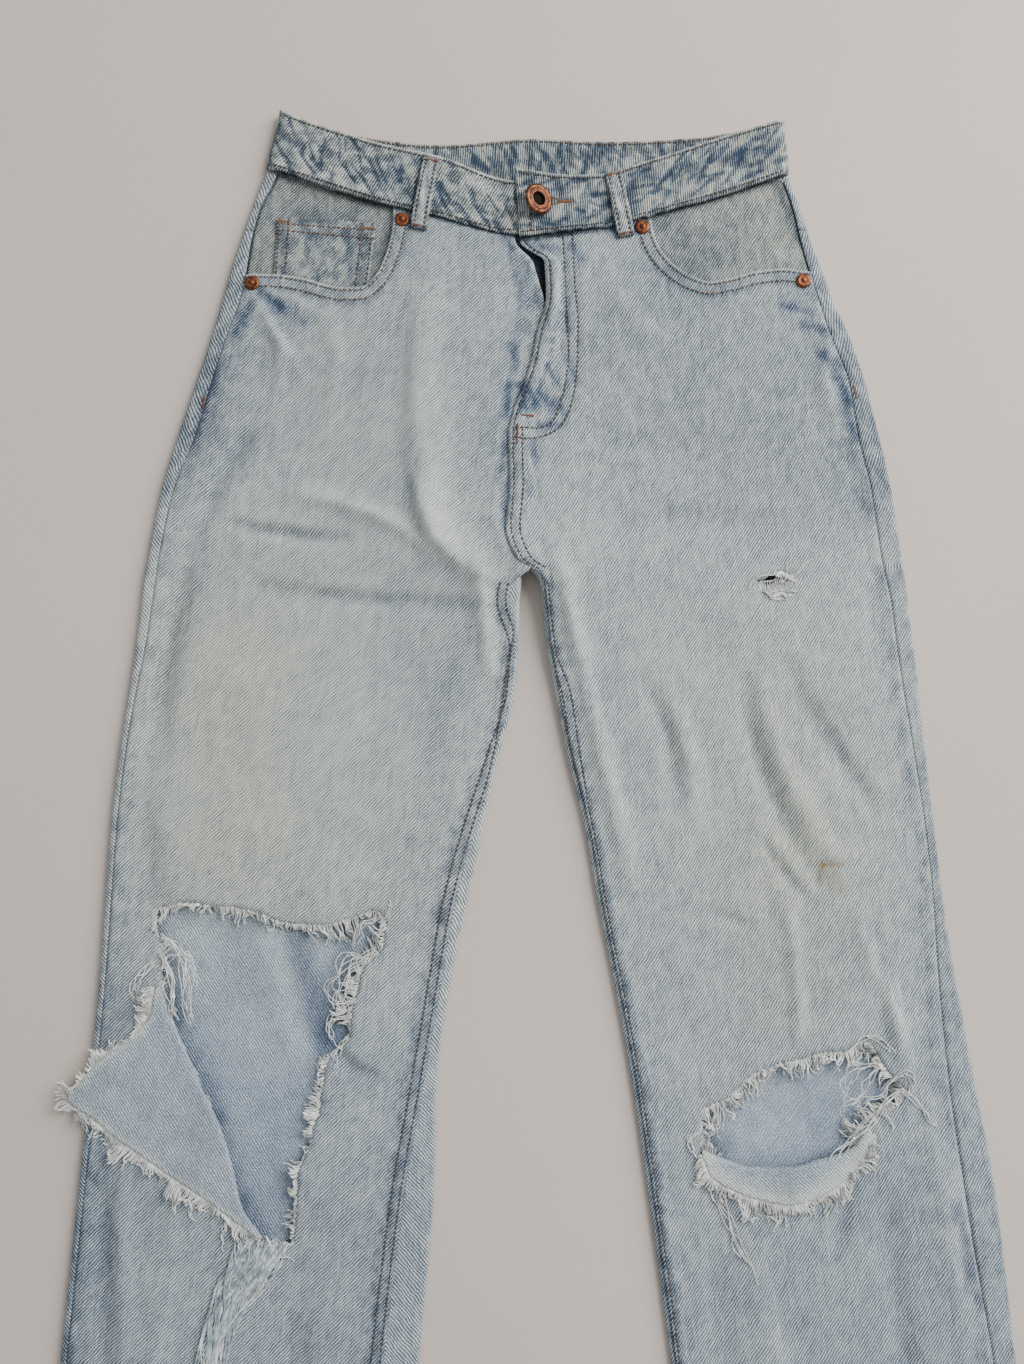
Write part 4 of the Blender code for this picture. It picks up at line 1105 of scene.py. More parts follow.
def rows_tree():
    """One small part at every pitch along a line, turned to follow it."""
    tree, given = node_group(
        "parts_in_a_row", Float=("Pitch", "Lean", "Uneven"), Vector=("Part",), Int=("Seed",)
    )
    start = given["Geometry"]
    bead = start.node("GeometryNodeMeshUVSphere", None, {"Segments": 6, "Rings": 4, "Radius": 0.5})
    lean = start.node("ShaderNodeCombineXYZ", None, {"Z": given["Lean"]})
    spread = given["Uneven"]
    limits = {2: 1 - spread, 3: spread + 1, 8: given["Seed"]}
    chance = start.node("FunctionNodeRandomValue", {"data_type": "FLOAT"}, limits, 1)
    size = given["Part"].vector("SCALE", chance)
    return close_group(tree, set_along(start, given["Pitch"], bead, lean, size), given["Material"])


def guide(name, runs, reach=None):
    """A mesh of bare edges along the given runs of (across, level, height) points."""
    points = np.vstack(runs)
    edges = []
    start = 0
    for run in runs:
        edges += [(start + i, start + i + 1) for i in range(len(run) - 1)]
        start += len(run)
    mesh = bpy.data.meshes.new(name)
    mesh.from_pydata(metres(*points.T[:3]).tolist(), edges, [])
    if reach is not None:
        mesh.attributes.new("reach", "FLOAT", "POINT").data.foreach_set("value", np.concatenate(reach))
    return put(name, mesh)


def grown(line, tree, values):
    """Run a tree on a guide, keep the mesh that it makes, and take the modifier away."""
    maker = line.modifiers.new("maker", "NODES")
    maker.node_group = tree
    for item in tree.interface.items_tree:
        if item.in_out == "INPUT" and item.name in values:
            maker[item.identifier] = values[item.name]
    depsgraph = bpy.context.evaluated_depsgraph_get()
    made = bpy.data.meshes.new_from_object(line.evaluated_get(depsgraph), depsgraph=depsgraph)
    line.modifiers.clear()
    bare = line.data
    line.data = made
    bpy.data.meshes.remove(bare)
    made.materials.clear()
    made.materials.append(values["Material"])
    made.polygons.foreach_set("material_index", np.zeros(len(made.polygons), int))
    made.name = line.name
    return line


parts_in_a_row = rows_tree()
teeth_line = curve_through(TEETH_FROM, 1.0)
teeth_height = front_height("right", *teeth_line.T) - ZIP_DEPTH + 0.3
values = {
    "Pitch": TOOTH_PITCH * MM,
    "Part": [TOOTH[1] * MM, TOOTH[0] * MM, TOOTH[2] * MM],
    "Uneven": 0.0,
    "Material": dark_metal(),
}
teeth = grown(guide("zip_teeth", [np.column_stack((teeth_line, teeth_height))]), parts_in_a_row, values)
dress(teeth, None)

# ---- Fronts --------------------------------------------------------------------------------------
# Two front legs of the same twill, sewn to the backs at the side seams and inseams. Each is cut away
# in a curve for its pocket. Both knees and the left thigh are torn open, with the cloth worn to cream.

OPENING = {
    "right": (
        (-76.5, 960), (-76.5, 944), (-77, 936), (-79, 926), (-83, 913), (-89, 902.5), (-97, 897),
        (-108, 897), (-120, 899.5), (-134, 903.5), (-150, 906), (-164, 906.5), (-180, 906),
    ),
    "left": (
        (89, 960), (89.5, 944), (91, 933), (96, 921), (104, 911.5), (114, 904.5), (126, 901),
        (140, 903.5), (156, 908), (174, 910), (188, 908.5), (200, 907),
    ),
}
RIPS = {
    "right": {
        "knee": (
            (-218, 506), (-202, 509), (-185, 508), (-165, 506), (-155, 504), (-143, 499), (-129, 497),
            (-112, 497), (-96, 501), (-83, 505), (-76, 497), (-78, 484), (-86, 475), (-92, 462),
            (-96.5, 444), (-97, 430), (-106, 420), (-112.5, 411), (-115, 397), (-119, 374), (-126, 354),
            (-128.5, 335), (-130, 318), (-131, 309), (-149, 312), (-161.5, 330.5), (-168, 354.5),
            (-176.5, 379), (-193, 412.6), (-204, 436), (-214, 460), (-213, 476), (-217, 497),
        ),
    },
    "left": {
        "knee": (
            (112, 377), (114, 386), (129, 393), (140, 403), (152, 411), (168, 415), (186, 420),
            (203, 422.6), (215, 426), (223, 413), (233, 403), (238, 398), (232, 389.5), (220, 384),
            (209, 374), (202, 363), (183, 357), (164, 352.6), (143, 353), (125, 358), (113, 364),
        ),
        "thigh": (
            (153, 702), (153.5, 708), (160, 711), (168, 713.5), (172, 712), (177, 710), (176, 706),
            (168, 705), (160, 703.5), (156, 701),
        ),
    },
}
INSEAM_FLANGE = 7.5  # the front runs past its first row of stitches by this much
SECOND_ROW = 5.2
ROLL_ROOM = 2.3  # and stops this short of the leg's inner side
UNDERLAP = 2.0
OVERLAP = 2.0
BAND_TUCK = 2.0
FLY_ROWS = {
    "outer": (
        (38.5, 935), (40, 900), (42, 872), (41, 841), (38, 822), (31, 806), (20, 799), (9, 797), (2, 798),
    ),
    "inner": (
        (32.5, 935), (34, 905), (35, 879), (36, 853), (34, 834), (30, 819), (25, 808), (15, 804),
        (3, 804),
    ),
}
FLY_RIDGE = (
    (20, 918, 27, 880, 18, 838, 4, 5, 1.9),
    (31.5, 918, 34, 885, 28, 840, 1.8, 2.6, -2.6),
    (24, 921, 30, 913, 33, 890, 3, 3, 0.5),
)
STITCH_STEP = 2.0
RIP_SEED = 41


def inner_edge(side, level):
    """Where a front ends: at the centre seam and fly above the crotch, at the inseam below it."""
    seam = section(side, "front", level)
    roll = section(side, "inner", level)
    if side == "right":
        leg = np.minimum(seam + INSEAM_FLANGE, roll - ROLL_ROOM)
        lap = mix(seam, section("left", "front", level) + UNDERLAP, smooth((918 - level) / 50))
    else:
        leg = np.maximum(seam - INSEAM_FLANGE, roll + ROLL_ROOM)
        lap = seam - OVERLAP * smooth((850 - level) / 25)
    return mix(leg, lap, smooth((level - 706) / 13))


def front_outline(side):
    """A front's edge, anticlockwise: down the side seam, along the hem, up the inseam and fly, then the
    waist and the pocket opening."""
    toward = 1 if side == "right" else -1
    opening = curve_through(OPENING[side], STITCH_STEP)
    in_panel = (opening[:, 0] - section(side, "side_seam", opening[:, 1])) * toward > 0.3
    under_band = opening[:, 1] > seam_level(side, opening[:, 0]) + BAND_TUCK
    opening = opening[in_panel & ~under_band]
    levels = np.arange(opening[-1][1] - 0.5, 0, -STITCH_STEP)
    side_run = np.column_stack((section(side, "side_seam", levels) + toward * 0.02, levels))
    hem = np.linspace(side_run[-1][0], inner_edge(side, np.array(0.0)), 90)
    hem_run = np.column_stack((hem, np.zeros(len(hem))))
    top = float(seam_level(side, section(side, "front", 930.0))) + BAND_TUCK
    levels = np.arange(STITCH_STEP, top, STITCH_STEP)
    inner_run = np.column_stack((inner_edge(side, levels), levels))
    waist = np.linspace(inner_run[-1][0], opening[0][0], 60)[1:-1]
    waist_run = np.column_stack((waist, seam_level(side, waist) + BAND_TUCK))
    ring = np.vstack((side_run, hem_run, inner_run, waist_run, opening))
    return (ring if side == "right" else ring[::-1]), opening


def torn(outline, seed, slow=0.7, quick=0.35):
    """An outline torn along the threads: it wanders, and single threads end long or short."""
    ring = curve_through(list(outline) + [outline[0]], 1.0)[:-1]
    rng = np.random.default_rng(seed)
    count = len(ring)
    knots = np.arange(0, count + 7, 7)
    wander = np.interp(np.arange(count), knots, rng.normal(0, slow, len(knots)))
    return ring + sideways(ring) * (wander + rng.normal(0, quick, count))[:, None]


def sewn_rows(side):
    """The topstitching of a front: name to a run of plan points."""
    toward = 1 if side == "right" else -1
    levels = np.arange(704, 2, -STITCH_STEP)
    first = section(side, "front", levels)
    second = first + toward * SECOND_ROW
    edge = inner_edge(side, levels) - toward * 1.2
    second = np.minimum(second, edge) if side == "right" else np.maximum(second, edge)
    first = np.minimum(first, edge - 1.5) if side == "right" else np.maximum(first, edge + 1.5)
    rows = {"inseam_outer": np.column_stack((first, levels))}
    shown = (second - first) * toward > 3.0
    rows["inseam_inner"] = np.column_stack((second, levels))[shown]
    opening = front_outline(side)[1]
    out = -sideways(opening) * toward * -1
    if side == "right":
        out = sideways(opening)
    rows["opening_edge"] = opening + out * 2.3
    rows["opening_hem"] = opening + out * 8.4
    if side == "left":
        levels = np.arange(928, 712, -STITCH_STEP)
        rows["fly_edge"] = np.column_stack((inner_edge(side, levels) + 3.4, levels))
        levels = np.arange(803, 713, -STITCH_STEP)
        rows["centre"] = np.column_stack((inner_edge(side, levels) + 9.0, levels))
        for name, points in FLY_ROWS.items():
            rows["fly_" + name] = curve_through(points, STITCH_STEP)
    return rows


def front_face(side, across, level, rows):
    """A front's height as sewn: folded hems, raised flanges, and a groove at each row of stitches."""
    toward = 1 if side == "right" else -1
    height = front_height(side, across, level)
    from_side = (across - section(side, "side_seam", level)) * toward
    pucker = np.sin(level / 2.1 + 2.2 * np.sin(level / 23) + 1.1 * np.sin(level / 7.7))
    height += (0.45 + 0.22 * pucker) * hump(from_side - 3.2, 2.2) - 0.55 * hump(from_side, 1.2)
    from_inner = (inner_edge(side, level) - across) * toward
    leg = smooth((CROTCH - 4 - level) / 8)
    flange = 0.55 * smooth((9.0 - from_inner) / 1.5) + 0.22 * pucker * hump(from_inner - 5, 5.0)
    height += leg * (flange - 0.8 * hump(from_inner, 0.9))
    opening = front_outline(side)[1]
    from_opening, _, _ = beside(opening[::2], across, level, 14.0)
    wave = np.sin(across / 2.3 + level / 3.1 + 1.5 * np.sin(across / 13))
    hem = smooth((9.6 - from_opening) / 1.4) * (0.5 + 0.16 * wave) + 0.5 * hump(from_opening - 1.0, 1.2)
    height += hem - 0.7 * hump(from_opening, 0.6)
    if side == "left":
        on_seam = smooth((level - 712) / 8) * smooth((925 - level) / 12)
        lift = 1.35 * smooth((17 - from_inner) / 6) + 0.4 * smooth((10 - from_inner) / 1.6)
        height += on_seam * (lift - 0.8 * hump(from_inner, 0.9))
        height += sum(crease(row, across, level) for row in FLY_RIDGE)
    for line in rows.values():
        near, _, _ = beside(line[::2], across, level, 4.0)
        height -= 0.32 * hump(near, 0.8)
    drop = seam_level(side, across) - level
    return height - (height - 5.7) * smooth((4.5 - drop) / 4.5) * (level > 900)


sewn = {}
rips = {}
for half in ("right", "left"):
    toward = 1 if half == "right" else -1
    outline = front_outline(half)[0]
    rips[half] = {name: torn(ring, RIP_SEED + len(name)) for name, ring in RIPS[half].items()}
    sewn[half] = sewn_rows(half)
    levels = np.arange(890, 2, -STITCH_STEP)
    side_line = np.column_stack((section(half, "side_seam", levels) + toward * 1.6, levels))
    shape = net(outline, list(rips[half].values()), NET, [*sewn[half].values(), side_line])
    flat = shape[0]
    height = front_face(half, *flat.T, sewn[half])
    relief = sum(crease(row, *flat.T) for row in CREASES)
    wash = wash_of(half, *flat.T, relief)
    from_opening, _, _ = beside(front_outline(half)[1][::2], *flat.T, 22.0)
    under_band = seam_level(half, flat[:, 0]) - flat[:, 1]
    from_inner = (inner_edge(half, flat[:, 1]) - flat[:, 0]) * toward
    # darker lines: painted shadow under the band and below the pocket hem, dye between the hem rows, and
    # dye with painted groove shade at the inseam
    seam_dye_and_painted_shade = 0.20 * hump(from_opening - 10.4, 1.3) + 0.12 * hump(from_opening - 4.6, 1.6)
    seam_dye_and_painted_shade += 0.34 * hump(under_band - 1.0, 1.7) * (under_band > -3)
    leg = smooth((CROTCH - flat[:, 1]) / 8)
    seam_dye_and_painted_shade += leg * (0.30 * hump(from_inner, 0.9) + 0.16 * hump(from_inner - 4.4, 1.6))
    fly = smooth((flat[:, 1] - 806) / 12) * (flat[:, 1] < 930)
    worn_rim_and_painted_highlight = 0.14 * hump(from_opening, 1.5)
    # the left front's fly: painted shadow along its edge and beside its rounded fold, and a painted
    # highlight on the fold; the right front: painted shadow in the valley beside the fly, and a worn pale
    # edge
    if half == "left":
        seam_dye_and_painted_shade += fly * 0.30 * hump(from_inner - 3.4, 0.8)
        seam_dye_and_painted_shade += fly * 0.34 * hump(from_inner - 11.5, 0.9)
        worn_rim_and_painted_highlight += fly * (0.14 * hump(from_inner - 1.0, 1.4) + 0.12 * hump(from_inner - 7.5, 2.6))
    else:
        seam_dye_and_painted_shade += fly * (flat[:, 1] > 880) * 0.20 * hump(from_inner - 4.0, 3.0)
        worn_rim_and_painted_highlight += fly * 0.16 * hump(from_inner, 1.0)
    wash[:, 0] += seam_dye_and_painted_shade - worn_rim_and_painted_highlight
    wash[:, 1] -= 1.2 * seam_dye_and_painted_shade
    wash[:, 2] += 0.9 * seam_dye_and_painted_shade
    # darker along each row of stitches: dye held in the pucker and painted shade in the groove
    for line in sewn[half].values():
        near, _, _ = beside(line[::2], *flat.T, 5.0)
        wash[:, 0] += 0.14 * hump(near, 1.1)
    front = panel(f"front_{half}_cloth", half, shape, height, wash, (right_side, reverse_side))
    sew_in(front, f"front_{half}")

# ---- Waistband -----------------------------------------------------------------------------------
# One strip of doubled denim, puckered by its stitching so that the dye stayed in the hollows. It runs
# from its end under the fly, round the back, to the end with the buttonhole, which laps over.

BAND = 2.2
BAND_WIDTH = 40.0
BAND_PROUD = 0.8
BAND_STEP = 1.3
BAND_COLUMNS = 34
BAND_TONE = (0.58, 0.70, 0.9)
BAND_TWILL = {"right": math.radians(-112), "left": math.radians(36)}
BAND_BLUE = {
    "right": (
        (-150, 18, -136, 18, 4, 0.42), (-119, 17, -107, 21, 4, 0.34), (-88, 6, -89, 29, 4, 0.30),
        (-77, 18, -63, 35, 7, 0.50), (-63, 2, -60, 12, 4, 0.45), (-39, 2, -38, 14, 3.5, 0.40),
        (-45, 21, -48, 34, 4, 0.50), (-23, 18, -17, 22, 4, 0.25), (-5, 3, -4, 14, 3, 0.35),
        (-126, 24, -119, 29, 3.5, 0.26), (-132, 6, -129, 12, 3, 0.26), (-115, 1, -112, 9, 3, 0.25),
        (-101, 28, -96, 22, 4, 0.30), (-104, 6, -101, 13, 3, 0.18), (-143, 26, -136, 33, 3, 0.18),
        (-72, 8, -66, 20, 3, 0.22), (-32, 24, -27, 31, 3, 0.20), (-92, 33, -84, 31, 3, 0.2),
        (-150, 7, -146, 16, 3, 0.22), (-82, 9, -76, 14, 2.5, 0.2), (-13, 26, -6, 31, 3, 0.25),
    ),
    "around": (),
    "left": (
        (147, 14, 165, 18, 3.5, 0.44), (166, 19, 175, 15, 3.5, 0.42), (134, 15, 149, 21, 3.5, 0.42),
        (84, 11, 101, 14, 3, 0.36), (113, 14, 127, 13, 3.2, 0.36), (72, 16, 78, 30, 5, 0.55),
        (28, 7, 32, 15, 3.5, 0.48), (42, 24, 45, 30, 4, 0.40), (53, 14, 60, 19, 3, 0.34),
        (60, 29, 64, 34, 4, 0.45), (23, 12, 25, 18, 3, 0.35), (85, 6, 92, 9, 2.5, 0.25),
        (104, 24, 116, 20, 3, 0.24), (122, 28, 133, 24, 3, 0.2), (150, 28, 160, 27, 3, 0.2),
        (95, 22, 102, 27, 3, 0.26), (34, 30, 40, 35, 4, 0.40), (18, 30, 26, 34, 4, 0.36),
        (48, 5, 51, 12, 3, 0.28), (12, 6, 14, 14, 3, 0.24), (64, 6, 68, 13, 3, 0.3),
    ),
}
BAND_SEED = 7
BAND_TOP_ROW = 2.4
BAND_LOW_ROW = 2.2
BAND_END_ROW = 8.6

stations = []
for part, rows_of_part in (("right", BAND_RIGHT), ("around", BAND_AROUND), ("left", BAND_LEFT)):
    stations += [(*row, part) for row in rows_of_part]
middle_line = np.array([((a + c) / 2, (b + d) / 2, z) for a, b, c, d, z, _ in stations])
station_run = run_of(middle_line)
band_table = np.column_stack((station_run, [row[:5] for row in stations]))
band_length = station_run[-1]
right_end = station_run[len(BAND_RIGHT) - 1]
left_start = station_run[len(BAND_RIGHT) + len(BAND_AROUND)]


def band_streaks(run_from, run_to, seed, lean, pitch=(1.6, 3.6), size=((5, 15), (0.9, 1.8))):
    """Uneven streaks over the band, where the second layer crept: start, end, half width, amount."""
    rng = np.random.default_rng(seed)
    rows = []
    at = run_from
    while at < run_to:
        middle = rng.uniform(3, 37)
        long = rng.uniform(*size[0])
        angle = rng.normal(lean, 0.35)
        reach = (0.5 * long * math.sin(angle), 0.5 * long * math.cos(angle))
        wide = rng.uniform(*size[1])
        ends = (at - reach[0], middle - reach[1], at + reach[0], middle + reach[1])
        rows.append((*ends, wide, rng.uniform(0.25, 0.8)))
        at += rng.uniform(*pitch)
    return rows


def band_face(run, drop_share):
    """Plan, height and dye of the band's outer face, by the run along it and the share from its top."""
    run, drop_share = np.broadcast_arrays(run, drop_share)
    top_across, top_level, low_across, low_level, base = (read(band_table, k, run) for k in range(1, 6))
    across = mix(top_across, low_across, drop_share)
    level = mix(top_level, low_level, drop_share)
    drop = drop_share * np.hypot(top_across - low_across, top_level - low_level)
    up = BAND_WIDTH - drop
    front_right = smooth((right_end - run) / 6)
    front_left = smooth((run - left_start) / 6)
    around = 1 - front_right - front_left
    dye = front_right * blotches(BAND_BLUE["right"], across, drop)
    dye = dye + front_left * blotches(BAND_BLUE["left"], across, drop)
    wide = band_streaks(right_end, left_start, BAND_SEED, 0.25, (6, 11), ((18, 34), (1.8, 2.8)))
    dye = dye + 0.6 * around * blotches(wide, run, drop)
    fine = blotches(band_streaks(0, right_end, BAND_SEED + 1, -0.45), run, drop)
    fine = fine + blotches(band_streaks(right_end, left_start, BAND_SEED + 2, 0.25), run, drop)
    fine = fine + blotches(band_streaks(left_start, band_length, BAND_SEED + 3, 1.15), run, drop)
    fine = smooth((fine - 0.12) / 0.40)
    end = np.minimum(drop, np.maximum(up, 0))
    sign = np.where(around > 0.5, -1.0, 1.0)
    swell = 0.35 * smooth((8 - up) / 3) + 0.2 * smooth((6 - drop) / 3)
    roll = -0.7 * hump(end, 0.9)
    rows = -0.35 * (hump(drop - BAND_TOP_ROW, 0.8) + hump(up - BAND_LOW_ROW, 0.8))
    pucker = -0.7 * (dye - 0.12) - 0.75 * (fine - 0.4)
    proud = BAND_PROUD * (front_right + front_left)
    height = base + proud + sign * (swell + roll + rows)
    height = height + sign * np.clip(pucker, -0.5, 0.4) * np.where(around > 0.5, 0.4, 1)
    from_end = band_length - run
    height = height - 0.7 * hump(from_end, 1.0) - 0.3 * hump(from_end - BAND_END_ROW, 0.9)
    return across, level, height, 0.72 * dye + 0.40 * (fine - 0.42) + 0.08 * front_left, drop


run = np.linspace(0, band_length, int(band_length / BAND_STEP))[None, :]
share = np.linspace(0, 1, BAND_COLUMNS)[:, None]
across, level, height, dye, drop = band_face(run, share)
wash = np.zeros((*across.shape, 4))
wash[..., :3] = BAND_TONE
wash[..., 0] += dye
wash[..., 1] -= 2.4 * np.maximum(dye, 0)
low_blue = hump(BAND_WIDTH - drop, 2.0)
in_front = (run < right_end + 4) | (run > left_start - 4)
# bluer along the stitch rows: dye held in the puckers and painted shade in their grooves
low_row = hump(BAND_WIDTH - drop - BAND_LOW_ROW, 1.0)
row_dye_and_groove_shade = (1.6 * low_row + hump(drop - BAND_TOP_ROW, 1.1)) * np.where(in_front, 1.0, 0.3)
rim = hump(drop, 1.2) + 0.5 * hump(BAND_WIDTH - drop, 0.9)
wash[..., 0] += 0.14 * low_blue + 0.20 * row_dye_and_groove_shade - 0.24 * rim + 0.12 * ~in_front
threads = [turned(*np.broadcast_arrays(run, -drop), BAND_TWILL[part]) for part in ("right", "left")]
grain = np.where(np.broadcast_to(run < right_end, across.shape).reshape(-1, 1), threads[0], threads[1])
waistband = woven(
    "waistband_cloth", across, level, height, grain, wash, (right_side, right_side), BAND
)
sew_in(waistband, "waistband")

# ---- Belt loops ----------------------------------------------------------------------------------
# Narrow strips of folded denim with two rows of stitches. Their ends are turned under and tacked, and
# the middle stands clear for a belt. The back ones are pressed flat under the band.

LOOP_WIDTH = 11.0
LOOP_CLOTH = 1.7
LOOP_ARCH = 2.0  # the middle stands this clear of its ends
LOOP_SHAPE = ((0, 0), (0.1, 0.02), (0.22, 0.75), (0.4, 1), (0.65, 1), (0.85, 0.7), (0.94, 0.02), (1, 0))
LOOP_ROW = 3.2
LOOP_SEAT = 1.5  # above the band or the front, whichever is higher
LOOP_TONE = (0.38, 0.3, 0.6)
BACK_LOOP_TONE = (0.45, 0.3, 0.6, 0.0)
FRONT_LOOPS = {"right": ((-60, 935), (-51.5, 982.5)), "left": ((73, 930), (65, 973))}
BACK_LOOPS = {"loop_back_right": -102, "loop_back_centre": 14, "loop_back_left": 130}
BACK_LOOP_LENGTH = 37.0


def loop_seat(half, across, level):
    """Height at which a front loop lies flat."""
    cloth_top = float(front_height(half, np.array(across), np.array(level)))
    return max(BAND_FRONT + BAND_PROUD, cloth_top) + LOOP_SEAT


loop_rows = []
for half, ((ax, ay), (bx, by)) in FRONT_LOOPS.items():
    length = math.dist((ax, ay), (bx, by))
    t = np.linspace(0, 1, 60)[:, None]
    beside_middle = np.linspace(-0.5, 0.5, 15)[None, :] * LOOP_WIDTH
    step = ((by - ay) / length, -(bx - ax) / length)
    across = mix(ax, bx, t) + beside_middle * step[0]
    level = mix(ay, by, t) + beside_middle * step[1]
    arch = read(LOOP_SHAPE, 1, t) * LOOP_ARCH
    seat = loop_seat(half, ax, ay)
    ends = np.minimum(t, 1 - t) * length
    edge = 0.5 * LOOP_WIDTH - np.abs(beside_middle)
    height = seat + arch + 0.35 * np.sin(beside_middle * 1.1 + t * 9)
    height = height + 0.5 * smooth((5 - ends) / 2) - 0.7 * hump(ends, 0.8)
    height = height - 0.6 * hump(edge, 0.8) - 0.3 * hump(np.abs(beside_middle) - LOOP_ROW, 0.7)
    wash = np.zeros((*across.shape, 4))
    groove = hump(np.abs(beside_middle) - LOOP_ROW, 0.9)
    wash[..., :3] = LOOP_TONE
    # painted shade at the rolled edges, in the stitch grooves and under the turned-under ends
    wash[..., 0] = wash[..., 0] + 0.26 * hump(edge, 0.9) + 0.16 * groove
    wash[..., 0] = wash[..., 0] + 0.06 * np.sin(t * 23) + 0.3 * (ends < 2.5)
    grain = turned(*np.broadcast_arrays(beside_middle, t * length), 0.2)
    loop = woven(
        f"loop_front_{half}_cloth", across, level, height, grain, wash,
        (right_side, right_side), LOOP_CLOTH,
    )
    sew_in(loop, f"loop_front_{half}")
    for place_of_row in (-LOOP_ROW, LOOP_ROW):
        x = mix(ax, bx, t[2:-2]) + place_of_row * step[0]
        y = mix(ay, by, t[2:-2]) + place_of_row * step[1]
        loop_rows.append(np.column_stack((x, y, (seat + arch + 0.02)[2:-2])))

for name, middle in BACK_LOOPS.items():
    ends = (middle - 0.5 * LOOP_WIDTH, middle + 0.5 * LOOP_WIDTH)
    low = float(max(seam_level("back", end) for end in ends)) + 0.6
    high = low + BACK_LOOP_LENGTH
    corners = [(ends[0], low), (ends[1], low), (ends[1], high), (ends[0], high), (ends[0], low)]
    shape = net(straight_through(corners, 2.0)[:-1], pitch=2.5)
    flat = shape[0]
    wash = np.tile(BACK_LOOP_TONE, (len(flat), 1))
    loop = panel(
        name + "_cloth", "right", shape, np.zeros(len(flat)), wash, (right_side, right_side),
        POCKET_CLOTH, down=True,
    )
    sew_in(loop, name)

# ---- Topstitching --------------------------------------------------------------------------------
# Every seam and hem is sewn down with thick thread, faded from tan to a dull slate brown. Bar tacks of
# close rust-coloured stitches lock the ends of the loops, pockets and fly.

PITCH = 3.2
STITCH = (2.8, 1.3, 0.85)  # long, wide, high
SATIN_PITCH = 0.55  # the close stitches of a bar tack
SATIN = (0.55, 1.7, 0.5)
THREAD_LIFT = 0.2  # a row's threads stand this clear of their groove
TACK_LIFT = 0.6
COIN_ROWS = (
    ((-150, 941), (-88.5, 936)),
    ((-150, 936.5), (-89, 930.5)),
    ((-149.5, 944), (-151, 908), (-147, 880)),
    ((-143.5, 944), (-145, 908), (-142, 880)),
    ((-89.3, 940), (-93, 900), (-94, 880)),
    ((-96, 940), (-99.5, 900), (-100, 880)),
)
SIDE_TACKS = {"right": ((-195, 826), (-196, 818)), "left": ((217, 833), (218.5, 825))}


def thread(name, dark, light):
    """Twisted cotton thread, its colour worn unevenly along it."""
    material, where, shader = surface(name, 0.7, Sheen_Weight=0.15, Sheen_Roughness=0.4)
    worn = where.noise((110, 110, 110), 3.0, 0.6)
    fibre = where.noise((2600, 2600, 2600), 1.0)
    shade = worn * 0.7 + fibre * 0.3
    paint(shader, shade.ease(0.35, 0.65), dark, light)
    emboss(shader, fibre, 0.4, 0.00015)
    return material


slate_thread = thread("slate_thread", (0.029, 0.024, 0.021), (0.080, 0.064, 0.053))
tan_thread = thread("tan_thread", (0.056, 0.036, 0.025), (0.130, 0.084, 0.056))
rust_thread = thread("rust_thread", (0.104, 0.032, 0.007), (0.236, 0.075, 0.020))


def stitched(name, runs, material, lean=0.10, seed=1, pitch=PITCH, size=STITCH):
    """Rows of stitches along runs of (across, level, height) points."""
    values = {
        "Pitch": pitch * MM,
        "Part": [size[0] * MM, size[1] * MM, size[2] * MM],
        "Lean": lean,
        "Uneven": 0.12,
        "Seed": seed,
        "Material": material,
    }
    return dress(grown(guide(name, runs), parts_in_a_row, values), None)


def on_front(half, line, lift=THREAD_LIFT):
    """A run of plan points laid on a front."""
    return np.column_stack((line, front_face(half, *line.T, sewn[half]) + lift))


BAND_ROW_LIFT = 0.32
going_with = {name: [] for name in sheets}
for half in ("right", "left"):
    rows = sewn[half]
    leg_rows = [on_front(half, rows[key]) for key in ("inseam_outer", "inseam_inner")]
    pocket_rows = [on_front(half, rows[key]) for key in ("opening_edge", "opening_hem")]
    going_with[f"front_{half}"] += [
        stitched(f"inseam_stitches_{half}", leg_rows, slate_thread, seed=3),
        stitched(f"pocket_stitches_{half}", pocket_rows, tan_thread, seed=4),
    ]
fly_rows = [on_front("left", sewn["left"][key]) for key in ("fly_edge", "centre", "fly_outer", "fly_inner")]
going_with["front_left"].append(stitched("fly_stitches", fly_rows, slate_thread, seed=5))

band_rows = []
inside_rows = []
for edge in ("top", "low"):
    run = np.arange(2.0, band_length - 2.5, STITCH_STEP)
    top_x, top_y, low_x, low_y = (read(band_table, k, run) for k in range(1, 5))
    wide = np.hypot(top_x - low_x, top_y - low_y)
    share = BAND_TOP_ROW / wide if edge == "top" else 1 - BAND_LOW_ROW / wide
    x, y, z, _, _ = band_face(run, share)
    band_rows.append(np.column_stack((x, y, z + BAND_ROW_LIFT))[run < right_end - 3])
    band_rows.append(np.column_stack((x, y, z + BAND_ROW_LIFT))[run > left_start + 3])
    inner = (run > right_end + 14) & (run < left_start - 14)
    inside_rows.append(np.column_stack((x, y, z + BAND + 0.1))[inner])
    band_rows.append(np.column_stack((x, y, z - 0.05))[inner])
share = np.linspace(0.07, 0.93, 20)
x, y, z, _, _ = band_face(np.full(20, band_length - BAND_END_ROW), share)
band_rows.append(np.column_stack((x, y, z + BAND_ROW_LIFT)))
band_stitches = stitched("waistband_stitches", band_rows, slate_thread, seed=6)
inside_stitches = stitched("waistband_inside_stitches", inside_rows, tan_thread, seed=12)
going_with["waistband"] += [band_stitches, inside_stitches]
going_with["loop_front_right"].append(stitched("belt_loop_stitches", loop_rows, slate_thread, seed=7))

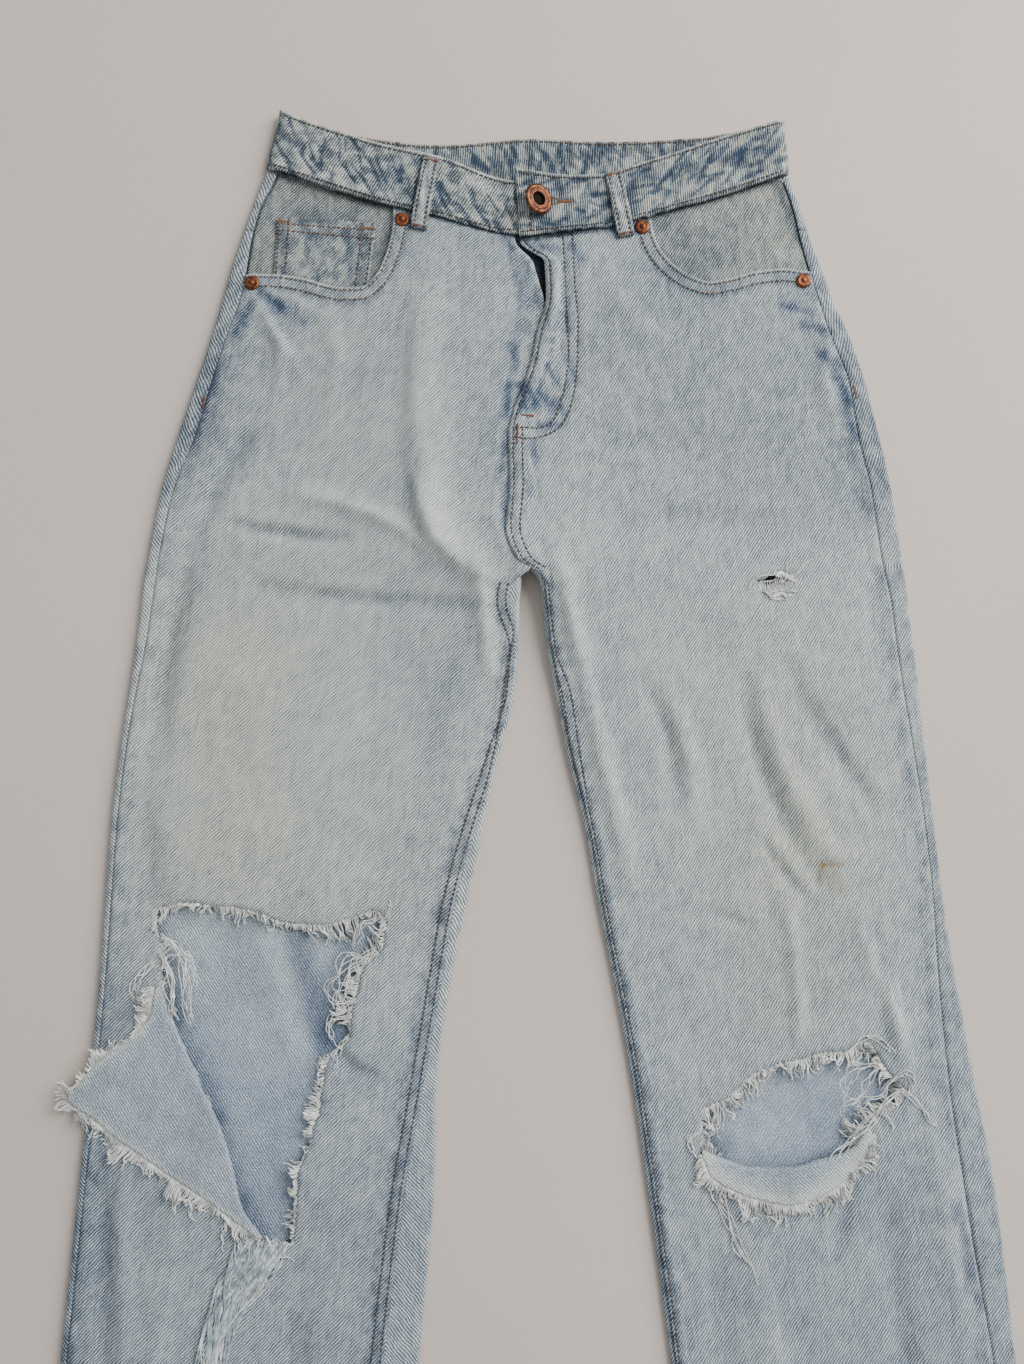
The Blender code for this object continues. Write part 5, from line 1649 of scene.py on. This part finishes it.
coin_rows = []
for run_points in COIN_ROWS:
    line = straight_through(run_points, STITCH_STEP)
    coin_rows.append(np.column_stack((line, front_height("right", *line.T) - COIN_DEPTH + 0.5)))
going_with["coin_pocket"].append(stitched("coin_pocket_stitches", coin_rows, tan_thread, seed=8))


def tack(ends, height):
    """A bar tack's run from one end to the other."""
    line = straight_through(ends, 1.0)
    return np.column_stack((line, np.full(len(line), height)))


def face_at(half, at):
    """Height of a front at one point."""
    return float(front_face(half, np.array([at[0]]), np.array([at[1]]), sewn[half])[0])


tacks = [
    tack(((-151, 942.5), (-143, 942)), front_height("right", -147.0, 942.0) - COIN_DEPTH + TACK_LIFT),
    tack(((-96.5, 937.5), (-88.5, 937)), front_height("right", -92.0, 937.0) - COIN_DEPTH + TACK_LIFT),
    tack(((3.6, 806), (3.0, 793)), face_at("left", (3.4, 800)) + THREAD_LIFT),
    tack(((6, 812), (14, 811.5)), face_at("left", (10, 812)) + THREAD_LIFT),
]
for half, ((ax, ay), (bx, by)) in FRONT_LOOPS.items():
    length = math.dist((ax, ay), (bx, by))
    up_x, up_y = (bx - ax) / length, (by - ay) / length
    seat = loop_seat(half, ax, ay)
    for start_x, start_y, step_in in ((ax, ay, 2.0), (bx, by, -2.0)):
        x = start_x + up_x * step_in
        y = start_y + up_y * step_in
        ends = ((x - 4 * up_y, y + 4 * up_x), (x + 4 * up_y, y - 4 * up_x))
        tacks.append(tack(ends, seat + TACK_LIFT))
for half, ends in SIDE_TACKS.items():
    tacks.append(tack(ends, float(front_height(half, np.array(ends[0][0]), np.array(ends[0][1])))))
bar_tacks = stitched("bar_tacks", tacks, rust_thread, lean=0.0, seed=9, pitch=SATIN_PITCH, size=SATIN)

# ---- Button, buttonhole and rivets ---------------------------------------------------------------
# A turned copper shank button with a dark hollow middle, through a keyhole buttonhole worked in rust
# thread. Copper rivets with a raised nub are hammered through the corners of the front pockets.

BUTTON_AT = (15.0, 951.5)
BUTTON_TILT = math.radians(30)
BUTTON = (
    (0, 2.6), (2.6, 2.65), (3.6, 2.9), (4.0, 3.9), (4.3, 4.6), (4.9, 4.85), (5.5, 4.7), (5.9, 4.45),
    (6.4, 4.45), (6.9, 4.85), (7.7, 5.15), (8.7, 5.0), (9.6, 4.4), (9.9, 3.7), (9.6, 3.1), (8.6, 2.7),
    (4.6, 2.5), (3.9, 1.8), (3.9, 0.0), (0, 0.0),
)
BUTTON_DARK = 4.4  # radius of the blackened middle
BUTTON_STEPS = 48
RIVET_STEPS = 28
SHANK = 1.8  # the button stands this clear of the band
BUTTONHOLE = ((21, 956.5), (26, 954.8), (31, 952.8), (31, 951.4), (26, 950.4), (21, 949))
BUTTONHOLE_TAIL = ((29, 952.2), (38, 952.4))
EYELET_STITCH = (0.6, 2.0, 0.6)
TAIL_STITCH = (0.55, 2.2, 0.8)
RIVETS = {
    "rivet_right_side": (-166, 900),
    "rivet_right_front": (-70.5, 942),
    "rivet_left_front": (83.5, 937),
    "rivet_left_side": (186, 901.5),
}
RIVET = (
    (0, 2.2), (0.7, 2.15), (1.15, 1.85), (1.35, 1.35), (1.7, 1.05), (2.3, 1.1), (3.0, 1.3), (3.8, 1.25),
    (4.4, 0.9), (4.7, 0.35), (4.7, 0.0), (0, 0.0),
)


def copper(name, bright, dull, dirt, metal=0.85, gloss=0.5):
    """Antiqued copper: bright and brown in uneven patches, with specks of dirt."""
    material, where, shader = surface(name, 0.42, Specular_IOR_Level=gloss, Metallic=metal)
    patch = where.noise((260, 260, 260), 4.0, 0.65)
    speck = where.noise((1300, 1300, 1300), 2.0)
    worn = patch.ease(0.38, 0.62).blend((*dull, 1), (*bright, 1))
    plug(speck.ease(0.58, 0.72).blend(worn, (*dirt, 1)), shader, "Base Color")
    plug(patch * 0.3 + (1.0 - gloss) * 0.6, shader, "Roughness")
    emboss(shader, speck + patch, 0.5, 0.00012)
    return material


def turned_metal(name, profile, at, height, materials, steps, tilt=0.0, dark_within=0.0):
    """A turned piece from (radius, height) points, top of the axis to its foot, set in its place."""
    bm = bmesh.new()
    rings = []
    for radius, z in profile:
        if radius == 0:
            rings.append([bm.verts.new((0, 0, z))])
        else:
            turns = [2 * math.pi * k / steps for k in range(steps)]
            rings.append([bm.verts.new((radius * math.cos(a), radius * math.sin(a), z)) for a in turns])
    for upper, lower in zip(rings, rings[1:]):
        for k in range(steps):
            n = (k + 1) % steps
            order = ((upper, k), (lower, k), (lower, n), (upper, n))
            corners = [ring[place % len(ring)] for ring, place in order]
            face = bm.faces.new(list(dict.fromkeys(corners)))
            reach = max(math.hypot(v.co.x, v.co.y) for v in corners)
            face.material_index = 1 if reach < dark_within else 0
            face.smooth = True
    bmesh.ops.rotate(bm, verts=bm.verts, cent=(0, 0, 0), matrix=Matrix.Rotation(tilt, 3, "Y"))
    bmesh.ops.scale(bm, verts=bm.verts, vec=(MM, MM, MM))
    foot = metres(np.array(at[0]), np.array(at[1]), np.array(height))[0]
    bmesh.ops.translate(bm, verts=bm.verts, vec=foot)
    piece = from_bmesh(name, bm, materials[0])
    for material in materials[1:]:
        piece.data.materials.append(material)
    return piece


rubbed, brown, dirt = (0.200, 0.072, 0.034), (0.052, 0.020, 0.012), (0.015, 0.007, 0.005)
button_copper = copper("button_copper", rubbed, brown, dirt)
rubbed, brown, dirt = (0.012, 0.008, 0.006), (0.005, 0.004, 0.003), (0.003, 0.002, 0.002)
button_dark = copper("button_hollow", rubbed, brown, dirt, metal=0.0, gloss=0.05)
rubbed, brown, dirt = (0.25, 0.083, 0.036), (0.080, 0.027, 0.013), (0.02, 0.009, 0.007)
rivet_copper = copper("rivet_copper", rubbed, brown, dirt)
lap_top = BAND_OVERLAP + BAND_PROUD
button = turned_metal(
    "button_turned", BUTTON, BUTTON_AT, lap_top + SHANK, (button_copper, button_dark), BUTTON_STEPS,
    BUTTON_TILT, BUTTON_DARK,
)
dress(button, "button")
for name, at in RIVETS.items():
    half = "right" if at[0] < 0 else "left"
    seat = face_at(half, at) + 0.1
    rivet = turned_metal(name + "_turned", RIVET, at, seat, (rivet_copper,), RIVET_STEPS)
    dress(rivet, name)

hole_top = lap_top + 0.1
eyelet = curve_through(BUTTONHOLE, 0.7)
eyelet = np.column_stack((eyelet, np.full(len(eyelet), hole_top + 0.1)))
buttonhole = stitched(
    "buttonhole_stitches", [eyelet], tan_thread, lean=0.0, seed=10, pitch=0.6, size=EYELET_STITCH
)
tail = tack(BUTTONHOLE_TAIL, hole_top + 0.3)
buttonhole_tack = stitched(
    "buttonhole_tack", [tail], rust_thread, lean=0.0, seed=11, pitch=0.5, size=TAIL_STITCH
)
going_with["waistband"] += [bar_tacks, buttonhole, buttonhole_tack]

# ---- Flap and lip of torn cloth ------------------------------------------------------------------
# Below the right knee a tongue of the front hangs on and lies folded out over the leg, reverse side
# up. Under the left knee the lower edge of the tear has turned over in a narrow lip.

FLAP_HINGE = (
    (-214, 460), (-210, 450), (-204, 436), (-193, 412.6), (-185, 395), (-176.5, 379), (-168, 354.5),
    (-161.5, 330.5), (-149, 313),
)
FLAP_EDGE = (
    (-216, 459), (-218, 444), (-231, 429), (-247, 417), (-259, 404), (-268, 393), (-252, 382.5),
    (-236, 370), (-216, 357), (-199.5, 346), (-183, 336), (-169, 326), (-151, 313),
)
LIP_HINGE = ((113, 364), (125, 358), (143, 353), (164, 352.6), (183, 357), (202, 363), (214, 377))
LIP_EDGE = (
    (113, 361), (119, 348), (133, 340), (147, 335), (165, 332), (183, 337), (198, 346), (209, 361),
    (216, 374),
)
FLAP_LIFT = 0.9
FOLD_OVER = 1.2  # the fold hides the torn edge under it
FLAP_ROLL = 0.15  # the flap stands this much higher beside its fold
LIP_LIFT = 0.5
LIP_ROLL = 0.9
FLAP_BARE = 2.6  # width of the edge that lost its blue threads
LIP_BARE = 8.0


def folded_out(side, hinge, edge, lift, roll, seed, name, node, pitch, bare):
    """A tongue of cloth folded over on its hinge, its reverse up, rounded at the fold. Its blue threads
    are gone for about the bare width along the free edge."""
    fold = curve_through(hinge, 1.2)
    fold = fold + sideways(fold) * FOLD_OVER
    toward_leg = np.vstack((fold, curve_through(edge, 1.2)[::-1][1:-1]))
    shape = net(toward_leg, pitch=pitch)
    flat = shape[0]
    far, _, _ = beside(fold[::2], *flat.T)
    base = front_height(side, *flat.T)
    past = np.maximum(0, section("right", "outer", flat[:, 1]) - 3.0 - flat[:, 0]) if side == "right" else 0
    soft = 0.35 * np.sin(flat[:, 0] / 6.1 + flat[:, 1] / 9.3) * np.sin(flat[:, 1] / 7.7 + seed)
    height = base + CLOTH + lift + roll * hump(far - 7, 8) - 0.2 * past
    height = height - (roll + 0.9) * hump(far, 0.9) + soft * smooth(far / 8)
    wash = np.zeros((len(flat), 4))
    from_edge, _, _ = beside(curve_through(edge, 2.4), *flat.T)
    # painted shade on the flap beside its fold
    wash[:, 0] = 0.355 + 0.16 * hump(far, 5.0)
    wash[:, 1] = 1.3 * hump(from_edge, bare)
    piece = panel(name, side, shape, height, wash, (reverse_side, right_side))
    sew_in(piece, node)
    return flat, height


flap_flat, flap_height = folded_out(
    "right", FLAP_HINGE, FLAP_EDGE, FLAP_LIFT, FLAP_ROLL, 1, "knee_flap_cloth", "knee_flap", 2.0,
    FLAP_BARE,
)
lip_flat, lip_height = folded_out(
    "left", LIP_HINGE, LIP_EDGE, LIP_LIFT, LIP_ROLL, 2, "knee_lip_cloth", "knee_lip", 1.6, LIP_BARE
)
going_with["knee_flap"] = []
going_with["knee_lip"] = []

# ---- Frayed edges ----------------------------------------------------------------------------------
# Along every tear the crosswise threads are white cotton that stands out of the cloth in a dense, curly
# fringe; where the blue lengthwise threads were rubbed away it is longer and tangles.

FRAY_STEP = 0.80
FOLD_FRAY_STEP = 0.66
FRAY_THREAD = 0.82
SHORTEST_FRAY = 0.3  # mm: where the fray is shorter than this there is none
FRAY_CURLS = ((70.0, 2.1), (170.0, 1.05), (430.0, 0.25))  # bends to the metre, and their strength
FRAY_CURL = 11.0
EDGE_TILT = (-0.12, 0.20, 0.16)  # least and most out of the cloth, and most to either side
FOLD_TILT = (-0.10, 0.18, 0.14)
FRAY_SEED = 61


def lengths(points, reach):
    """Places along an edge with the length of the fray at each."""
    return [(*point, long) for point, long in zip(points, reach)]


FRAYS = {
    ("right", "knee"): lengths(RIPS["right"]["knee"], (
        4.0, 3.5, 3.5, 5.0, 6.0, 8.0, 9.0, 9.0, 7.0, 5.0, 5.0, 5.5, 6.0, 6.5, 6.5, 6.0, 6.0, 6.0, 3.5,
        3.5, 5.5, 7.0, 6.0, 2.0, 0.0, 0.0, 0.0, 0.0, 0.0, 0.0, 3.0, 5.0, 4.0,
    )),
    ("left", "knee"): lengths((*RIPS["left"]["knee"][:-1], (113, 366)), (
        10.0, 10.5, 10.5, 9.5, 9.0, 8.5, 8.5, 9.0, 8.0, 7.5, 6.0, 5.0, 6.0, 8.0, 8.0, 0.0, 0.0, 0.0, 0.0,
        0.0, 7.0,
    )),
    ("left", "thigh"): (
        (154, 706, 0.8), (160, 709, 0.9), (170, 712, 1.0), (177, 710, 4.0), (172, 706, 1.4),
        (160, 705, 0.9),
    ),
}
FLAP_FRAY = lengths(FLAP_EDGE[::-1], (6, 9, 10, 9, 9, 9, 8, 6, 4, 4, 4, 7, 8))
LIP_FRAY = lengths(LIP_EDGE, (6, 9, 11, 12, 12, 11, 9, 8, 7))


def tubes_on(lines, sides, radius):
    """Thread of a given radius along every line."""
    ring = lines.node("GeometryNodeCurvePrimitiveCircle", None, {"Resolution": sides, "Radius": radius})
    values = {"Curve": lines, "Profile Curve": ring, "Fill Caps": True}
    return lines.node("GeometryNodeCurveToMesh", None, values)


def fray_tree():
    """Loose thread ends standing out to the left of a torn edge, each bent its own way."""
    tree, given = node_group(
        "frayed_edge", Float=("Spacing", "Thread", "Curl", "Droop"),
        Vector=("Lowest", "Tilt Low", "Tilt High"), Int=("Seed",),
    )
    start = given["Geometry"]
    straight = start.node("GeometryNodeCurvePrimitiveLine", None, {"Start": (0, 0, 0), "End": (0, MM, 0)})
    strand = straight.node("GeometryNodeResampleCurve", None, {"Curve": straight, "Count": 14})
    limits = {0: given["Tilt Low"], 1: given["Tilt High"], 8: given["Seed"]}
    tilt = start.node("FunctionNodeRandomValue", {"data_type": "FLOAT_VECTOR"}, limits)
    reach = start.node("GeometryNodeInputNamedAttribute", {"data_type": "FLOAT"}, {"Name": "reach"})
    limits = {2: 0.7, 3: 1.15, 8: given["Seed"] + 1}
    long = reach * start.node("FunctionNodeRandomValue", {"data_type": "FLOAT"}, limits, 1)
    shown = reach.node("FunctionNodeCompare", {"operation": "GREATER_THAN"}, {0: reach, 1: SHORTEST_FRAY})
    placed = set_along(start, given["Spacing"], strand, tilt, long, "Z", Selection=shown)
    real = placed.node("GeometryNodeRealizeInstances", None, {"Geometry": placed})
    share = start.node("GeometryNodeSplineParameter")
    where = start.node("GeometryNodeInputPosition")
    curls = []
    for scale, amount in FRAY_CURLS:
        values = {"Vector": where, "Scale": scale, "Detail": 1.0}
        wisps = where.node("ShaderNodeTexNoise", {"noise_dimensions": "3D"}, values, 1)
        bend = share.math("POWER", share, 1.2) * given["Curl"] * amount
        curls.append(wisps.vector("SUBTRACT", (0.5, 0.5, 0.5)).vector("SCALE", bend))
    curl = curls[0].vector("ADD", curls[1]).vector("ADD", curls[2])
    sag = start.node("ShaderNodeCombineXYZ", None, {"Z": share * share * given["Droop"] * -1})
    above = where.vector("ADD", curl.vector("ADD", sag)).vector("MAXIMUM", given["Lowest"])
    bent = real.node("GeometryNodeSetPosition", None, {"Geometry": real, "Position": above})
    return close_group(tree, tubes_on(bent, 3, given["Thread"]), given["Material"])


def cotton(name, dark, light):
    """Loose, soft cotton yarn."""
    softness = {"Sheen_Weight": 0.25, "Sheen_Roughness": 0.5, "Specular_IOR_Level": 0.2}
    material, where, shader = surface(name, 0.95, **softness)
    paint(shader, where.noise((190, 190, 190), 3.0).ease(0.35, 0.65), dark, light)
    return material


frayed_edge = fray_tree()
white_cotton = cotton("white_cotton", (0.46, 0.475, 0.45), (0.80, 0.81, 0.77))
blue_cotton = cotton("blue_cotton", (0.20, 0.262, 0.295), (0.40, 0.465, 0.49))


def reach_near(points, line):
    """Length of the fray along a line, from the measured places nearest to it."""
    rows = np.array(points, float)
    far = np.hypot(line[:, None, 0] - rows[None, :, 0], line[:, None, 1] - rows[None, :, 1])
    weight = 1 / (far**2 + 9) ** 2
    return (weight * rows[None, :, 2]).sum(axis=1) / weight.sum(axis=1)


def fray(name, runs, reach, tilt, seed, droop=1.5, spacing=FRAY_STEP):
    """A fringe of thread ends along runs of points."""
    values = {
        "Spacing": spacing * MM,
        "Thread": 0.5 * FRAY_THREAD * MM,
        "Curl": FRAY_CURL * MM,
        "Droop": droop * MM,
        "Lowest": [-10.0, -10.0, 0.4 * MM],
        "Tilt Low": [tilt[0], 0, -tilt[2]],
        "Tilt High": [tilt[1], 0, tilt[2]],
        "Seed": seed,
        "Material": white_cotton,
    }
    return dress(grown(guide(name, runs, reach), frayed_edge, values), None)


def clumped(reach, seed):
    """Fray lengths that come and go along the edge, as the threads worked loose in tufts."""
    count = len(reach)
    knots = np.arange(0, count + 5, 5)
    tufts = np.interp(np.arange(count), knots, np.random.default_rng(seed).uniform(0.70, 1.30, len(knots)))
    return reach * tufts


for (half, name), rows in FRAYS.items():
    ring = rips[half][name]
    area = np.sum(ring[:, 0] * np.roll(ring[:, 1], -1) - np.roll(ring[:, 0], -1) * ring[:, 1])
    ring = ring if area > 0 else ring[::-1]
    line = np.vstack((ring, ring[:1]))
    reach = reach_near(rows, line)
    height = front_face(half, *line.T, sewn[half]) - 0.35
    run = np.column_stack((line, height))
    tufts = clumped(reach, FRAY_SEED)
    piece = fray(f"fray_{half}_{name}", [run], [tufts], EDGE_TILT, 20 + len(name))
    going_with[f"front_{half}"].append(piece)


def on_fold(flat, height, line):
    """Height of a folded piece at the points of a line, from its nearest points."""
    find = nearest(flat)
    return np.array([height[find(x, y)[1]] for x, y in line])


for node, edge, flat, height, rows, seed in (
    ("knee_flap", FLAP_EDGE, flap_flat, flap_height, FLAP_FRAY, 31),
    ("knee_lip", LIP_EDGE, lip_flat, lip_height, LIP_FRAY, 33),
):
    line = curve_through(edge[::-1], 1.0)
    reach = reach_near(rows, line)
    run = np.column_stack((line, on_fold(flat, height, line) - 0.3))
    piece = fray("fray_" + node, [run], [clumped(reach, seed)], FOLD_TILT, seed, 0.8, FOLD_FRAY_STEP)
    going_with[node].append(piece)

# ---- Tassel and loose threads ----------------------------------------------------------------------
# At the foot of the right knee a tassel of blue warp yarns trails down the leg. Elsewhere single long
# white yarns hang out of the tears in loops and tangles, lying on the cloth.

TASSEL_EDGES = (
    (
        (-165, 313), (-167, 300), (-173, 287), (-177, 274), (-181, 261), (-186, 239), (-191, 215),
        (-196, 190),
    ),
    (
        (-132, 309), (-139, 297), (-148, 284), (-159, 271), (-166, 254), (-170, 239), (-177, 215),
        (-184, 190),
    ),
)
TASSEL_YARNS = 84
TASSEL_BLUE = 54  # the first of them are blue, the others white
TASSEL_SEED = 71
TASSEL_THREAD = 1.0
PALE_THREAD = 0.8
LOOSE_THREAD = 0.55
STRAY_STEP = 1.3
STRAY_SEED = {"right": 81, "left": 82}


def yarn_tree():
    """Round yarns of one thickness along their guides."""
    tree, given = node_group("loose_yarn", Float=("Thread",))
    start = given["Geometry"]
    line = start.node("GeometryNodeMeshToCurve", None, {"Mesh": start})
    return close_group(tree, tubes_on(line, 5, given["Thread"]), given["Material"])


loose_yarn = yarn_tree()


def yarns(name, runs, thick, material):
    """Yarns along runs of (across, level, height) points."""
    return grown(guide(name, runs), loose_yarn, {"Thread": 0.5 * thick * MM, "Material": material})


def wandering(route, rng, sway, step=STRAY_STEP):
    """A yarn's plan along a route, swaying from side to side."""
    line = curve_through(route, step)
    t = np.linspace(0, 1, len(line))
    bends = sum(
        rng.uniform(0.3, 1.0) / k * np.sin(2 * np.pi * (k * rng.uniform(0.7, 1.5) * t + rng.uniform(0, 1)))
        for k in (1, 2, 4)
    )
    return line + sideways(line) * (bends * sway * np.minimum(1, 4 * t))[:, None]


rng = np.random.default_rng(TASSEL_SEED)
first, second = (curve_through(edge, 2.0) for edge in TASSEL_EDGES)
count = min(len(first), len(second))
first = first[np.linspace(0, len(first) - 1, count).round().astype(int)]
second = second[np.linspace(0, len(second) - 1, count).round().astype(int)]
tassel_runs = []
for k in range(TASSEL_YARNS):
    share = rng.uniform(0.03, 0.97)
    stop = max(8, int(count * rng.uniform(0.35, 1.0) ** 0.6))
    begin = int(rng.uniform(0, 3))
    t = np.linspace(0, 1, count)
    wave = np.sin(2 * np.pi * (rng.uniform(0.6, 1.6) * t + rng.uniform(0, 1)))
    gather = share + 0.30 * wave * np.minimum(1, 4 * t)
    plan = mix(first, second, np.clip(gather, -0.05, 1.05)[:, None])[begin:stop]
    height = front_height("right", *plan.T) + 0.7 + 1.1 * rng.uniform()
    height = height + 0.4 * np.sin(np.arange(len(plan)) / rng.uniform(2, 5))
    height[:3] -= np.array([1.2, 0.7, 0.3])[: len(height[:3])]
    tassel_runs.append(np.column_stack((plan, height)))
tassel = yarns("tassel_yarns", tassel_runs[:TASSEL_BLUE], TASSEL_THREAD, blue_cotton)
dress(tassel, "thread_tassel")
pale_tassel = yarns("tassel_pale_yarns", tassel_runs[TASSEL_BLUE:], PALE_THREAD, white_cotton)
dress(pale_tassel, None)
going_with["front_right"] += [tassel, pale_tassel]

# a route, how many yarns follow it, how far each sways, and their height above the cloth
STRAYS = {
    "right": (
        (((-213, 489), (-204, 484), (-198, 472), (-196, 452), (-195, 436), (-198, 422)), 7, 3.0, 1.0),
        (((-214, 480), (-207, 468), (-204, 448), (-201, 432), (-199, 421)), 6, 3.5, 1.0),
        (((-216, 476), (-222, 468), (-229, 458), (-224, 449), (-216, 446), (-212, 452)), 5, 2.4, 0.8),
        (((-212, 470), (-206, 478), (-198, 480), (-193, 470), (-193, 455)), 4, 2.4, 1.2),
        (((-84, 482), (-92, 474), (-99, 462), (-106, 452), (-104, 441)), 6, 3.5, 0.6),
        (((-88, 476), (-97, 477), (-105, 470), (-108, 458), (-101, 446), (-97, 436)), 5, 3.5, 0.8),
        (((-95, 452), (-104, 447), (-110, 437), (-106, 426), (-99, 420)), 5, 3.0, 0.6),
        (((-82, 500), (-90, 497), (-94, 488), (-88, 480)), 4, 2.5, 0.6),
        (((-78, 500), (-74, 506), (-76, 513)), 3, 1.2, 0.5),
        (((-100, 430), (-106, 418), (-108, 405)), 3, 2.0, 0.5),
        (((-146, 314), (-140, 305), (-131, 301), (-124, 297)), 3, 1.5, 0.5),
        (((-149, 315), (-152, 305), (-150, 292), (-146, 280)), 5, 2.0, 0.7),
        (((-168, 326), (-172, 316), (-170, 306)), 4, 1.6, 0.7),
        (((-188, 340), (-192, 330), (-186, 322)), 3, 1.6, 0.7),
    ),
    "left": (
        (((116, 362), (121, 348), (127, 330), (134, 312), (142, 296), (148, 283)), 3, 1.8, 0.6),
        (((115, 362), (118, 345), (128, 322), (138, 302)), 3, 2.6, 0.6),
        (((112, 374), (106, 370), (108, 362), (116, 358)), 4, 1.6, 0.8),
        (((222, 412), (214, 404), (206, 396), (200, 386), (201, 374)), 3, 3.0, 0.9),
        (((218, 416), (206, 410), (199, 400), (204, 388), (212, 382)), 3, 3.0, 0.9),
        (((228, 404), (220, 396), (212, 392), (206, 380)), 2, 2.8, 0.9),
        (((232, 398), (222, 390), (212, 380), (202, 370), (190, 356), (180, 342)), 5, 2.4, 1.6),
        (((236, 397), (246, 388), (252, 380), (259, 373)), 3, 1.6, 0.6),
        (((228, 404), (236, 410), (240, 404), (236, 396)), 4, 1.8, 0.6),
        (((214, 380), (222, 384), (228, 378), (224, 372)), 3, 1.8, 0.6),
        (((204, 422), (214, 430), (226, 424), (232, 412)), 3, 1.8, 0.6),
        (((174, 710), (179, 713), (184, 719), (191, 724), (196, 726)), 1, 0.8, 0.4),
        (((147, 703), (150, 708.5), (154, 709.5), (163, 711), (169, 710.5), (176, 713)), 2, 0.8, 0.3),
        (((153.5, 706), (162, 707.5), (170, 708.5)), 1, 0.6, 0.3),
        (((168, 706), (171, 710), (176, 711), (179, 712)), 4, 1.2, 0.3),
        (((170, 704), (173, 708), (178, 707)), 3, 1.0, 0.3),
        (((171, 712), (172, 720), (175, 721), (176, 713)), 1, 0.6, 0.3),
        (((157, 701), (162, 698), (167, 700), (171, 697), (175, 700), (178, 702)), 5, 1.2, 0.3),
        (((160, 699), (164, 695.5), (170, 696), (174, 699)), 3, 1.0, 0.3),
        (((158, 700), (166, 702), (174, 702), (179, 701)), 4, 1.0, 0.3),
    ),
}

for half, routes in STRAYS.items():
    rng = np.random.default_rng(STRAY_SEED[half])
    runs = []
    for route, many, sway, lift in routes:
        for k in range(many):
            shift = rng.normal(0, 0.35 * sway, (len(route), 2))
            plan = wandering(np.array(route) + shift, rng, sway)
            plan = plan[: max(6, int(len(plan) * rng.uniform(0.6, 1.0)))]
            in_air = 0.35 * np.sin(np.arange(len(plan)) / rng.uniform(2, 6) + rng.uniform(0, 6))
            height = front_height(half, *plan.T) + lift + in_air + rng.uniform(0, 0.8)
            runs.append(np.column_stack((plan, height)))
    strays = yarns(f"loose_threads_{half}", runs, LOOSE_THREAD, white_cotton)
    going_with[f"front_{half}"].append(dress(strays, None))

# ---- The cloth as it was cut ---------------------------------------------------------------------
# What each sheet measured flat, in mm and square mm, before it was sewn and laid out, with no seam
# allowance. The fronts count the cloth that was torn away. Each lies on the piece below it.

CUT = {
    "back_right": (285, 945, 222400, "table_top"),
    "back_left": (270, 968, 214000, "table_top"),
    "yoke_right": (190, 73, 9300, "table_top"),
    "yoke_left": (190, 107, 9700, "table_top"),
    "back_pocket_right": (134, 147, 15300, "table_top"),
    "back_pocket_left": (134, 147, 15300, "table_top"),
    "facing_right": (134, 117, 11900, "back_right_cloth"),
    "facing_left": (147, 113, 12200, "back_left_cloth"),
    "coin_pocket": (68, 75, 4500, "facing_right_cloth"),
    "fly_shield": (54, 119, 5200, "front_right_cloth"),
    "zip": (35, 110, 2600, "fly_shield_cloth"),
    "front_right": (236, 970, 184000, "back_right_cloth"),
    "front_left": (236, 966, 184000, "back_left_cloth"),
    "waistband": (710, 40.2, 27400, "front_right_cloth"),
    "loop_front_right": (11.2, 49.5, 540, "waistband_cloth"),
    "loop_front_left": (11.2, 45, 490, "waistband_cloth"),
    "loop_back_right": (11, 37, 405, "table_top"),
    "loop_back_centre": (11, 37, 405, "table_top"),
    "loop_back_left": (11, 37, 405, "table_top"),
    "knee_flap": (127, 139, 6100, "front_right_cloth"),
    "knee_lip": (103, 40, 1700, "front_left_cloth"),
}
TURNED_OVER = ("knee_flap", "knee_lip")

going_with["zip"].append(teeth)
for name, (width, length, area, under) in CUT.items():
    held = "folded" if name in TURNED_OVER else "laid"
    flat = (width * MM, length * MM)
